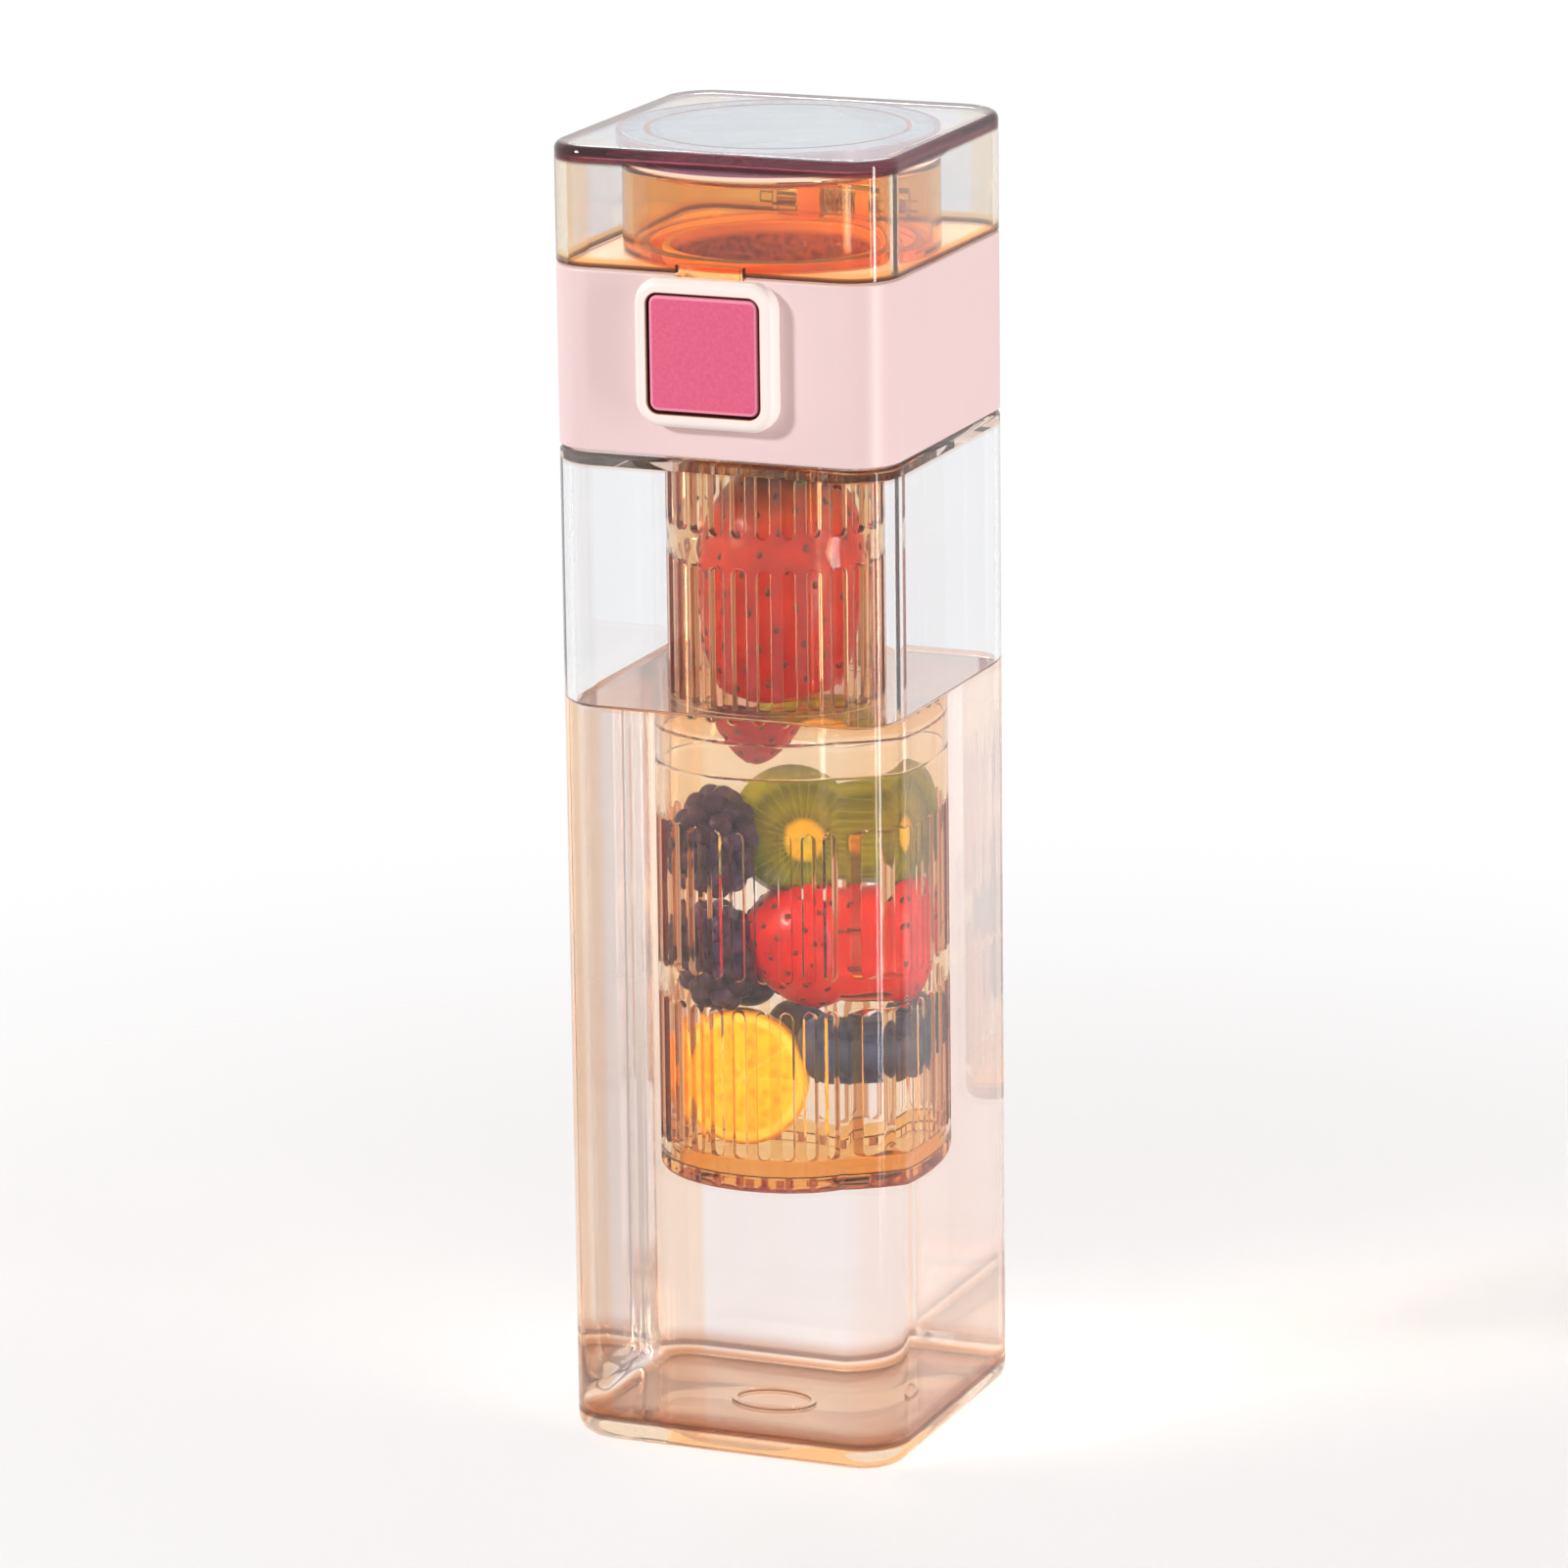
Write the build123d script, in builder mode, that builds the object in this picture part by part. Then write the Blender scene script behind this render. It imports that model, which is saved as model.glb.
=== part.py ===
from build123d import *
from math import cos, pi, radians, sin
import os

os.makedirs("parts", exist_ok=True)

# Fruit infuser bottle: a square clear tank, a square head that screws onto its round neck, a clear
# lid on a rear hinge and a slotted tube that hangs in the neck. Lengths are in millimetres.
# Z is up from the table, the button faces -Y and the hinge is at +Y.

# Outside of the bottle
width = 62.0
corner_radius = 8.7
tank_height = 177.0
head_height = 31.2
lid_height = 20.6

# Gaps that several pieces share
seam_gap = 0.4
slide_gap = 0.3
turn_gap = 0.1
overrun = 3.0

# Tank
tank_wall = 2.0
tank_floor = 3.6
foot_round = 3.5
floor_round = 3.0
shoulder_thickness = 2.4
shoulder_round = 0.8
foot_recess_inset = 5.0
foot_recess_depth = 1.4
gate_mark_radius = 7.8
gate_mark_width = 1.0
gate_mark_height = 0.5

# Neck and its quarter-turn thread
neck_inset = 7.5
neck_wall = 2.1
neck_drop = 12.6
lip_round = 0.5
thread_starts = 4
thread_lead = 16.0
thread_depth = 1.2
thread_root_height = 2.1
thread_crest_height = 0.9
thread_arc = 75.0
thread_sink = 0.4
thread_start_share = 0.42
thread_gap = 0.4

# Head: outer shell, threaded core and deck
head_wall = 2.0
head_edge_round = 0.4
core_wall = 2.2
core_base_lift = 0.5
core_base_thickness = 2.0
core_ceiling_thickness = 2.0
core_collar_wall = 1.2
deck_thickness = 1.4

# Rings stacked on the neck
gasket_thickness = 1.2
gasket_inset = 0.2
ring_flange_thickness = 2.2
ring_skirt_height = 8.2
ring_skirt_wall = 1.0
mouth_seal_thickness = 1.0

# Slotted infuser tube
infuser_foot = 46.0
basket_wall = 1.6
slot_pitch = 4.49
slot_width = 2.4
slot_rows_per_half = 2
slot_row_gap = 5.4
plain_band = 19.2
lower_slots_rise = 6.0
upper_slots_drop = 9.2
spigot_height = 6.0
lug_count = 3
lug_angle = 12.0
lug_height = 1.4
lug_depth = 0.35
lug_entry_angle = 45.0
cap_height = 3.0
cap_plate = 2.0
cap_round = 1.8
cap_spigot_height = 2.6
grip_radius = 0.6

# Strainer in the mouth
strainer_rise = 10.2
strainer_wall = 1.6
strainer_skirt_height = 4.0
strainer_floor_lift = 1.0
strainer_floor_thickness = 1.6
strainer_lip_round = 0.5
strainer_hole_radius = 1.4
strainer_hole_share = 0.275
strainer_hole_rings = 3
strainer_ring_holes = 6

# Mouth ring
mouth_inset = 4.5
mouth_wall = 1.8
mouth_rise = 15.2
mouth_ledge = 1.6
mouth_plug_wall = 1.6
mouth_lip_round = 0.8

# Lid
lid_wall = 2.0
lid_plate = 2.1
lid_top_round = 1.5
lid_rib_width = 0.8
lid_rib_height = 2.2
lid_rib_inset = 4.5
tab_width = 12.2
tab_inset = 0.2
tab_dip = 1.2
tab_height = 1.5

# Push button
bezel_size = 25.4
bezel_radius = 4.5
bezel_depth = 3.2
bezel_round = 1.4
bezel_drop = 0.2
bezel_rim = 2.8
pad_radius = 1.5
pad_thickness = 1.6
pad_recess = 0.3
pad_edge_round = 0.3
key_thickness = 1.9
key_arm_width = 1.2
key_ear_reach = 1.5
key_ear_thickness = 1.0
key_ear_height = 10.0
button_travel = 1.2

# Latch between the button and the lid
catch_width = 10.0
catch_recess = 1.0
catch_swing_gap = 0.5
catch_thickness = 0.8
catch_lip = 0.9
catch_lip_height = 1.0
latch_width = 8.0
latch_thickness = 0.9
latch_bar_height = 1.3
latch_foot_height = 3.2

# Springs
press_wire = 0.4
press_coil_radius = 1.5
press_turns = 4
press_edge_gap = 0.5
press_pocket_radius = 2.2
press_pocket_depth = 1.4
press_end_gap = 0.15
hinge_wire = 0.7
hinge_coil_radius = 1.75
hinge_turns = 5
hinge_pitch = 1.2
hinge_leg = 6.0

# Hinge, raised so that the lid's catch swings clear of the mouth
hinge_rise = 2.6
knuckle_radius = 3.0
pin_radius = 1.0
pin_gap = 0.05
spring_bay_half = 3.7
head_knuckle_width = 4.3
lid_knuckle_width = 4.6

# Heights and radii that follow from the sizes above
half = width / 2
head_floor = tank_height + seam_gap
head_top = head_floor + head_height
lid_floor = head_top + slide_gap
lid_top = lid_floor + lid_height
plate_floor = lid_top - lid_plate
neck_radius = half - neck_inset
neck_top = head_top - neck_drop
neck_bore = neck_radius - neck_wall
thread_start = tank_height + thread_start_share * (neck_top - tank_height)
ring_floor = neck_top + gasket_thickness
ring_top = ring_floor + ring_flange_thickness
plug_floor = ring_top + mouth_seal_thickness
ceiling_top = plug_floor + core_ceiling_thickness
deck_floor = head_top - deck_thickness
core_bore = neck_radius + thread_depth + thread_gap
core_outer = core_bore + core_wall
plug_radius = neck_radius + turn_gap
plug_bore = plug_radius - mouth_plug_wall
core_collar_bore = plug_radius + slide_gap
core_collar_outer = core_collar_bore + core_collar_wall
basket_radius = neck_bore - slide_gap - ring_skirt_wall - turn_gap
basket_bore = basket_radius - basket_wall
slot_count = round(2 * pi * basket_radius / slot_pitch)
mouth_radius = half - mouth_inset
mouth_top = head_top + mouth_rise
front = -half
button_height = head_top - bezel_drop - bezel_size / 2
pad_size = bezel_size - 2 * bezel_rim
press_pitch_half = pad_size / 2 - key_arm_width - press_pocket_radius - press_edge_gap
head_inner = half - head_wall
hinge_y = half + bezel_depth - knuckle_radius
hinge_z = head_top + hinge_rise
catch_front = -head_inner - catch_recess + catch_swing_gap
catch_back = catch_front + catch_thickness
catch_tip = catch_back + catch_lip
latch_back = catch_tip + slide_gap + turn_gap + latch_thickness
latch_tip = catch_back + slide_gap + turn_gap
latch_top = deck_floor - slide_gap - turn_gap
catch_lip_top = latch_top - catch_lip_height - slide_gap
catch_floor = catch_lip_top - catch_lip_height


def ring(inner, outer, low, high, mode=Mode.ADD):
    """Adds or cuts an upright ring; an inner radius of 0 makes a disc."""
    with BuildSketch(Plane.XY.offset(low)) as outline:
        Circle(outer)
        if inner > 0:
            Circle(inner, mode=Mode.SUBTRACT)
    extrude(outline.sketch, amount=high - low, mode=mode)


def ring_sector(inner, outer, low, high, start, angle, mode=Mode.ADD):
    """Adds or cuts a piece of an upright ring that spans an angle from start, in degrees."""
    with BuildSketch(Plane.XZ) as section:
        with Locations(((inner + outer) / 2, (low + high) / 2)):
            Rectangle(outer - inner, high - low)
    with Locations(Location((0, 0, 0), (0, 0, start))):
        turned = revolve(section.sketch, axis=Axis.Z, revolution_arc=angle, mode=Mode.PRIVATE)
        add(turned, mode=mode)


def block(x_range, y_range, z_range, mode=Mode.ADD):
    """Adds or cuts a box between the given ends."""
    spans = [high - low for low, high in (x_range, y_range, z_range)]
    middles = [(high + low) / 2 for low, high in (x_range, y_range, z_range)]
    with Locations(tuple(middles)):
        Box(*spans, mode=mode)


def front_face(y):
    """A plane that faces the viewer of the button, at this y and the button's height."""
    return Plane(origin=(0, y, button_height), x_dir=(1, 0, 0), z_dir=(0, -1, 0))


def lug_groove(radius, low, middle):
    """Cuts the groove in a bore's wall that a set of lugs turns in, and their entries from below."""
    near, far = radius - overrun, radius + lug_depth + turn_gap
    reach = lug_height / 2 + turn_gap
    ring(near, far, middle - reach, middle + reach, mode=Mode.SUBTRACT)
    for index in range(lug_count):
        start = index * 360 / lug_count + lug_entry_angle - lug_angle
        ring_sector(near, far, low - overrun, middle, start, 2 * lug_angle, mode=Mode.SUBTRACT)


def lugs(inner, outer, middle):
    """Adds the bayonet lugs of a spigot, centred on this height."""
    for index in range(lug_count):
        start = index * 360 / lug_count - lug_angle / 2
        ring_sector(inner, outer, middle - lug_height / 2, middle + lug_height / 2, start, lug_angle)


def coil_path(start, along, across, radius, pitch, turns):
    """Points of a coil, four to a turn: start is the axis' first point, along its direction, and
    across the direction of the first point of the wire."""
    side = along.cross(across)
    quarters = range(4 * turns + 1)
    return [
        start
        + along * (pitch * quarter / 4)
        + across * (radius * cos(quarter * pi / 2))
        + side * (radius * sin(quarter * pi / 2))
        for quarter in quarters
    ]


# Tank with its neck, blown in one piece
with BuildPart() as neck_ridge:
    with BuildLine() as ridge_course:
        Helix(
            pitch=thread_lead,
            height=thread_lead * thread_arc / 360,
            radius=neck_radius,
            center=(0, 0, thread_start),
        )
    with BuildSketch(Plane(ridge_course.line @ 0, x_dir=(1, 0, 0), z_dir=ridge_course.line % 0)):
        with BuildLine():
            Polyline(
                (-thread_sink, -thread_root_height / 2),
                (0, -thread_root_height / 2),
                (thread_depth, -thread_crest_height / 2),
                (thread_depth, thread_crest_height / 2),
                (0, thread_root_height / 2),
                (-thread_sink, thread_root_height / 2),
                close=True,
            )
        make_face()
    sweep(path=ridge_course.line, is_frenet=True)

with BuildPart() as bottle_body:
    with BuildSketch():
        RectangleRounded(width, width, corner_radius)
    extrude(amount=tank_height)
    fillet(bottle_body.edges().group_by(Axis.Z)[0], radius=foot_round)
    fillet(bottle_body.edges().group_by(Axis.Z)[-1], radius=shoulder_round)
    ring(0, neck_radius, tank_height - shoulder_thickness / 2, neck_top)
    with BuildSketch(Plane.XY.offset(tank_floor)):
        RectangleRounded(width - 2 * tank_wall, width - 2 * tank_wall, corner_radius - tank_wall)
    extrude(amount=tank_height - shoulder_thickness - tank_floor, mode=Mode.SUBTRACT)
    fillet(
        bottle_body.edges().filter_by_position(Axis.Z, tank_floor, tank_floor),
        radius=floor_round,
    )
    ring(0, neck_bore, tank_height - shoulder_thickness - overrun, neck_top + overrun, mode=Mode.SUBTRACT)
    fillet(bottle_body.edges().group_by(Axis.Z)[-1], radius=lip_round)
    ring(0, half - foot_recess_inset, -overrun, foot_recess_depth, mode=Mode.SUBTRACT)
    ring(
        gate_mark_radius - gate_mark_width,
        gate_mark_radius,
        tank_floor - gate_mark_height,
        tank_floor + gate_mark_height,
    )
    with PolarLocations(0, thread_starts):
        add(neck_ridge.part)
bottle_body.part.label = "bottle_body"
export_step(bottle_body.part, "parts/bottle_body.step")

# Seal under the infuser's ring
with BuildPart() as neck_gasket:
    ring(neck_bore + gasket_inset, neck_radius - gasket_inset, neck_top, ring_floor)
neck_gasket.part.label = "neck_gasket"
export_step(neck_gasket.part, "parts/neck_gasket.step")

# Ring that hangs the infuser in the neck
skirt_outer = neck_bore - slide_gap
skirt_inner = basket_radius + turn_gap
ring_lug_height = ring_floor - ring_skirt_height / 2
with BuildPart() as infuser_ring:
    ring(basket_bore, neck_radius, ring_floor, ring_top)
    ring(skirt_inner, skirt_outer, ring_floor - ring_skirt_height, ring_floor)
    lug_groove(skirt_inner, ring_floor - ring_skirt_height, ring_lug_height)
infuser_ring.part.label = "infuser_ring"
export_step(infuser_ring.part, "parts/infuser_ring.step")

# Infuser tube in two halves that twist together at the plain band
upper_slots_top = ring_floor - upper_slots_drop
lower_slots_low = infuser_foot + lower_slots_rise
slot_rows_height = (upper_slots_top - lower_slots_low - plain_band) / 2
slot_length = (slot_rows_height - (slot_rows_per_half - 1) * slot_row_gap) / slot_rows_per_half
band_middle = (upper_slots_top + lower_slots_low) / 2
spigot_outer = basket_radius - (basket_wall + turn_gap) / 2
socket_bore = spigot_outer + turn_gap
spigot_lug_height = band_middle + spigot_height / 2
cap_top = infuser_foot + cap_height
cap_lug_height = cap_top + cap_spigot_height / 2


def slot_rows(low):
    """Cuts the rows of upright slots through the tube's wall, the lowest one starting here."""
    for row in range(slot_rows_per_half):
        middle = low + slot_length / 2 + row * (slot_length + slot_row_gap)
        with BuildSketch(Plane.XZ.offset(basket_bore - overrun)) as slot:
            with Locations((0, middle)):
                SlotOverall(slot_length, slot_width, rotation=90)
        depth = basket_wall + 2 * overrun
        cutter = extrude(slot.sketch, amount=depth, mode=Mode.PRIVATE)
        with PolarLocations(0, slot_count):
            add(cutter, mode=Mode.SUBTRACT)


with BuildPart() as basket_upper:
    ring(basket_bore, basket_radius, band_middle, ring_floor)
    ring(0, socket_bore, band_middle - overrun, band_middle + spigot_height + turn_gap, mode=Mode.SUBTRACT)
    lug_groove(socket_bore, band_middle, spigot_lug_height)
    slot_rows(upper_slots_top - slot_rows_height)
    lugs(basket_radius - basket_wall / 2, basket_radius + lug_depth, ring_lug_height)
basket_upper.part.label = "basket_upper"
export_step(basket_upper.part, "parts/basket_upper.step")

with BuildPart() as basket_lower:
    ring(basket_bore, basket_radius, cap_top, band_middle)
    ring(basket_bore, spigot_outer, band_middle, band_middle + spigot_height)
    slot_rows(lower_slots_low)
    lugs((basket_bore + spigot_outer) / 2, spigot_outer + lug_depth, spigot_lug_height)
    lug_groove(basket_bore, cap_top, cap_lug_height)
basket_lower.part.label = "basket_lower"
export_step(basket_lower.part, "parts/basket_lower.step")

# Twist-off foot of the infuser, notched for grip
cap_spigot_outer = basket_bore - turn_gap
with BuildPart() as infuser_cap:
    ring(0, basket_radius, infuser_foot, cap_top)
    fillet(infuser_cap.edges().group_by(Axis.Z)[0], radius=cap_round)
    with BuildSketch(Plane.XY.offset(infuser_foot - overrun)) as grips:
        with PolarLocations(basket_radius, slot_count):
            Circle(grip_radius)
    extrude(grips.sketch, amount=cap_height + 2 * overrun, mode=Mode.SUBTRACT)
    ring(cap_spigot_outer - basket_wall, cap_spigot_outer, cap_top, cap_top + cap_spigot_height)
    ring(0, cap_spigot_outer - basket_wall, infuser_foot + cap_plate, cap_top, mode=Mode.SUBTRACT)
    lugs(cap_spigot_outer - basket_wall / 2, cap_spigot_outer + lug_depth, cap_lug_height)
infuser_cap.part.label = "infuser_cap"
export_step(infuser_cap.part, "parts/infuser_cap.step")

# Lift-out strainer that closes the top of the infuser
strainer_outer = basket_radius - turn_gap
strainer_bore = strainer_outer - strainer_wall
strainer_skirt_outer = basket_bore - turn_gap
strainer_floor = ring_top + strainer_floor_lift
strainer_hole_pitch = strainer_hole_share * (strainer_skirt_outer - strainer_wall)
with BuildPart() as strainer:
    ring(strainer_bore, strainer_outer, ring_top, ring_top + strainer_rise)
    ring(0, strainer_outer, ring_top, strainer_floor + strainer_floor_thickness)
    ring(
        strainer_skirt_outer - strainer_wall,
        strainer_skirt_outer,
        ring_top - strainer_skirt_height,
        ring_top,
    )
    ring(0, strainer_skirt_outer - strainer_wall, ring_top, strainer_floor, mode=Mode.SUBTRACT)
    fillet(strainer.edges().group_by(Axis.Z)[-1], radius=strainer_lip_round)
    with BuildSketch(Plane.XY.offset(ring_top - overrun)) as holes:
        Circle(strainer_hole_radius)
        for circle in range(1, strainer_hole_rings + 1):
            with PolarLocations(circle * strainer_hole_pitch, circle * strainer_ring_holes):
                Circle(strainer_hole_radius)
    extrude(holes.sketch, amount=2 * overrun, mode=Mode.SUBTRACT)
strainer.part.label = "strainer"
export_step(strainer.part, "parts/strainer.step")

# Head shell with the button's window, the catch's notch and the outer hinge knuckles
window_size = pad_size + 2 * slide_gap
window_radius = pad_radius + slide_gap
knuckle_relief = knuckle_radius + slide_gap
head_knuckle_end = spring_bay_half + head_knuckle_width
lid_knuckle_start = head_knuckle_end + slide_gap
lid_knuckle_end = lid_knuckle_start + lid_knuckle_width
hinge_line = Plane(origin=(0, hinge_y, hinge_z), x_dir=(0, 1, 0), z_dir=(1, 0, 0))
coil_half = hinge_turns * hinge_pitch / 2
leg_y = hinge_y - hinge_coil_radius
leg_room = hinge_wire / 2 + slide_gap


def hinge_barrel(radius, ends, mode=Mode.ADD):
    """Adds or cuts a cylinder on the hinge line between two distances, the same on both sides."""
    near, far = ends
    for side in (-1, 1):
        with BuildSketch(hinge_line.offset(near if side > 0 else -far)) as disc:
            Circle(radius)
        extrude(disc.sketch, amount=far - near, mode=mode)


with BuildPart() as head_shell:
    with BuildSketch(Plane.XY.offset(head_floor)):
        RectangleRounded(width, width, corner_radius)
    extrude(amount=head_height)
    fillet(head_shell.edges().group_by(Axis.Z)[0], radius=head_edge_round)
    fillet(head_shell.edges().group_by(Axis.Z)[-1], radius=head_edge_round)
    with BuildSketch(Plane.XY.offset(head_floor)):
        RectangleRounded(2 * head_inner, 2 * head_inner, corner_radius - head_wall)
    extrude(amount=head_height, mode=Mode.SUBTRACT)
    with BuildSketch(front_face(front - overrun)):
        RectangleRounded(window_size, window_size, window_radius)
    extrude(amount=-head_wall - 2 * overrun, mode=Mode.SUBTRACT)
    block(
        (-tab_width / 2 - slide_gap, tab_width / 2 + slide_gap),
        (front - overrun, -head_inner + overrun),
        (head_top - tab_dip - slide_gap, head_top + overrun),
        mode=Mode.SUBTRACT,
    )
    block(
        (-catch_width / 2 - slide_gap, catch_width / 2 + slide_gap),
        (-head_inner - catch_recess, -head_inner + overrun),
        (catch_floor - slide_gap, head_top + overrun),
        mode=Mode.SUBTRACT,
    )
    hinge_barrel(knuckle_relief, (0, lid_knuckle_end + slide_gap), mode=Mode.SUBTRACT)
    hinge_barrel(knuckle_radius, (spring_bay_half, head_knuckle_end))
    block(
        (spring_bay_half, head_knuckle_end),
        (head_inner, half),
        (hinge_z - knuckle_relief - slide_gap, hinge_z),
    )
    block(
        (-head_knuckle_end, -spring_bay_half),
        (head_inner, half),
        (hinge_z - knuckle_relief - slide_gap, hinge_z),
    )
    hinge_barrel(pin_radius + pin_gap, (0, lid_knuckle_end + overrun), mode=Mode.SUBTRACT)
    block(
        (coil_half - leg_room, coil_half + leg_room),
        (leg_y - leg_room, leg_y + leg_room),
        (hinge_z - hinge_leg - slide_gap, hinge_z),
        mode=Mode.SUBTRACT,
    )
head_shell.part.label = "head_shell"
export_step(head_shell.part, "parts/head_shell.step")

# Threaded core that screws down over the neck and holds the head's other pieces
with BuildPart() as core_ridge:
    with BuildLine() as core_course:
        Helix(
            pitch=thread_lead,
            height=thread_lead * thread_arc / 360,
            radius=core_bore,
            center=(0, 0, thread_start - thread_lead / thread_starts / 2),
        )
    with BuildSketch(Plane(core_course.line @ 0, x_dir=(1, 0, 0), z_dir=core_course.line % 0)):
        with BuildLine():
            Polyline(
                (thread_sink, -thread_root_height / 2),
                (0, -thread_root_height / 2),
                (-thread_depth, -thread_crest_height / 2),
                (-thread_depth, thread_crest_height / 2),
                (0, thread_root_height / 2),
                (thread_sink, thread_root_height / 2),
                close=True,
            )
        make_face()
    sweep(path=core_course.line, is_frenet=True)

base_floor = head_floor + core_base_lift
base_half = head_inner - slide_gap
pocket_floor = -core_outer + press_pocket_depth
with BuildPart() as head_core:
    ring(core_bore, core_outer, base_floor, ceiling_top)
    ring(core_collar_bore, core_outer, plug_floor, ceiling_top)
    ring(core_collar_bore, core_collar_outer, ceiling_top, deck_floor)
    with BuildSketch(Plane.XY.offset(base_floor)):
        RectangleRounded(2 * base_half, 2 * base_half, corner_radius - head_wall - slide_gap)
        Circle(core_bore, mode=Mode.SUBTRACT)
    extrude(amount=core_base_thickness)
    block(
        (-catch_width / 2 - slide_gap, catch_width / 2 + slide_gap),
        (front, -core_collar_bore + overrun),
        (ceiling_top, deck_floor + overrun),
        mode=Mode.SUBTRACT,
    )
    for side in (-1, 1):
        seat = Plane(
            origin=(side * press_pitch_half, pocket_floor, button_height), z_dir=(0, -1, 0)
        )
        with BuildSketch(seat):
            Circle(press_pocket_radius)
        extrude(amount=press_pocket_depth + overrun, mode=Mode.SUBTRACT)
    with PolarLocations(0, thread_starts):
        add(core_ridge.part)
head_core.part.label = "head_core"
export_step(head_core.part, "parts/head_core.step")

# Deck round the mouth
with BuildPart() as head_deck:
    with BuildSketch(Plane.XY.offset(deck_floor)):
        RectangleRounded(2 * base_half, 2 * base_half, corner_radius - head_wall - slide_gap)
        Circle(core_collar_bore, mode=Mode.SUBTRACT)
    extrude(amount=deck_thickness)
    block(
        (-catch_width / 2 - slide_gap, catch_width / 2 + slide_gap),
        (front, catch_tip + 2 * slide_gap),
        (deck_floor - overrun, head_top + overrun),
        mode=Mode.SUBTRACT,
    )
    hinge_barrel(knuckle_relief + slide_gap, (0, lid_knuckle_end + 2 * slide_gap), mode=Mode.SUBTRACT)
head_deck.part.label = "head_deck"
export_step(head_deck.part, "parts/head_deck.step")

# Mouth: a ring to drink from, with a plug that holds it in the deck
with BuildPart() as mouth_ring:
    ring(plug_bore, plug_radius, plug_floor, head_top)
    ring(plug_bore, mouth_radius, head_top, head_top + mouth_ledge)
    ring(mouth_radius - mouth_wall, mouth_radius, head_top, mouth_top)
    fillet(mouth_ring.edges().group_by(Axis.Z)[-1], radius=mouth_lip_round)
mouth_ring.part.label = "mouth_ring"
export_step(mouth_ring.part, "parts/mouth_ring.step")

with BuildPart() as mouth_seal:
    ring(plug_bore, neck_radius, ring_top, plug_floor)
mouth_seal.part.label = "mouth_seal"
export_step(mouth_seal.part, "parts/mouth_seal.step")

# Frame round the button
with BuildPart() as button_bezel:
    with BuildSketch(front_face(front)):
        RectangleRounded(bezel_size, bezel_size, bezel_radius)
    extrude(amount=bezel_depth)
    fillet(button_bezel.faces().sort_by(Axis.Y)[0].edges(), radius=bezel_round)
    with BuildSketch(front_face(front)):
        RectangleRounded(window_size, window_size, window_radius)
    extrude(amount=bezel_depth, mode=Mode.SUBTRACT)
button_bezel.part.label = "button_bezel"
export_step(button_bezel.part, "parts/button_bezel.step")

# Button: coloured pad on a key that slides in the window, held by its ears
pad_back = front - bezel_depth + pad_recess + pad_thickness
key_back = pad_back + key_thickness
with BuildPart() as button_pad:
    with BuildSketch(front_face(pad_back)):
        RectangleRounded(pad_size, pad_size, pad_radius)
    extrude(amount=pad_thickness)
    fillet(button_pad.faces().sort_by(Axis.Y)[0].edges(), radius=pad_edge_round)
button_pad.part.label = "button_pad"
export_step(button_pad.part, "parts/button_pad.step")

ear_front = -head_inner + slide_gap
key_side = pad_size / 2
key_ear_low = button_height - key_ear_height / 2
key_ear_high = button_height + key_ear_height / 2
with BuildPart() as button_key:
    with BuildSketch(front_face(key_back)):
        RectangleRounded(pad_size, pad_size, pad_radius)
    extrude(amount=key_thickness)
    for side in (-1, 1):
        arm = sorted((side * (key_side - key_arm_width), side * key_side))
        ear = sorted((side * (key_side - key_arm_width), side * (key_side + key_ear_reach)))
        block(arm, (key_back, ear_front + key_ear_thickness), (key_ear_low, key_ear_high))
        block(ear, (ear_front, ear_front + key_ear_thickness), (key_ear_low, key_ear_high))
    block(
        (-catch_width / 2 - slide_gap, catch_width / 2 + slide_gap),
        (catch_front - slide_gap - button_travel, key_back + overrun),
        (catch_floor - slide_gap, button_height + pad_size),
        mode=Mode.SUBTRACT,
    )
button_key.part.label = "button_key"
export_step(button_key.part, "parts/button_key.step")

# Catch on the lid and the latch behind the button that holds it down
bar_floor = ceiling_top + slide_gap
with BuildPart() as latch_hook:
    block(
        (-latch_width / 2, latch_width / 2),
        (key_back, key_back + latch_thickness),
        (bar_floor - latch_foot_height, bar_floor + latch_bar_height),
    )
    block(
        (-latch_width / 2, latch_width / 2),
        (key_back, latch_back),
        (bar_floor, bar_floor + latch_bar_height),
    )
    block(
        (-latch_width / 2, latch_width / 2),
        (latch_back - latch_thickness, latch_back),
        (bar_floor, latch_top),
    )
    block(
        (-latch_width / 2, latch_width / 2),
        (latch_tip, latch_back),
        (latch_top - catch_lip_height, latch_top),
    )
latch_hook.part.label = "latch_hook"
export_step(latch_hook.part, "parts/latch_hook.step")

tab_floor = head_top - tab_dip
tab_top = lid_floor + tab_height
with BuildPart() as lid_catch:
    block((-tab_width / 2, tab_width / 2), (front + tab_inset, front + lid_wall), (tab_floor, tab_top))
    block((-catch_width / 2, catch_width / 2), (front + tab_inset, catch_back), (lid_floor, tab_top))
    block(
        (-catch_width / 2, catch_width / 2),
        (catch_front, catch_back),
        (catch_floor, tab_top),
    )
    block(
        (-catch_width / 2, catch_width / 2),
        (catch_front, catch_tip),
        (catch_floor, catch_lip_top),
    )
lid_catch.part.label = "lid_catch"
export_step(lid_catch.part, "parts/lid_catch.step")

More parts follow.
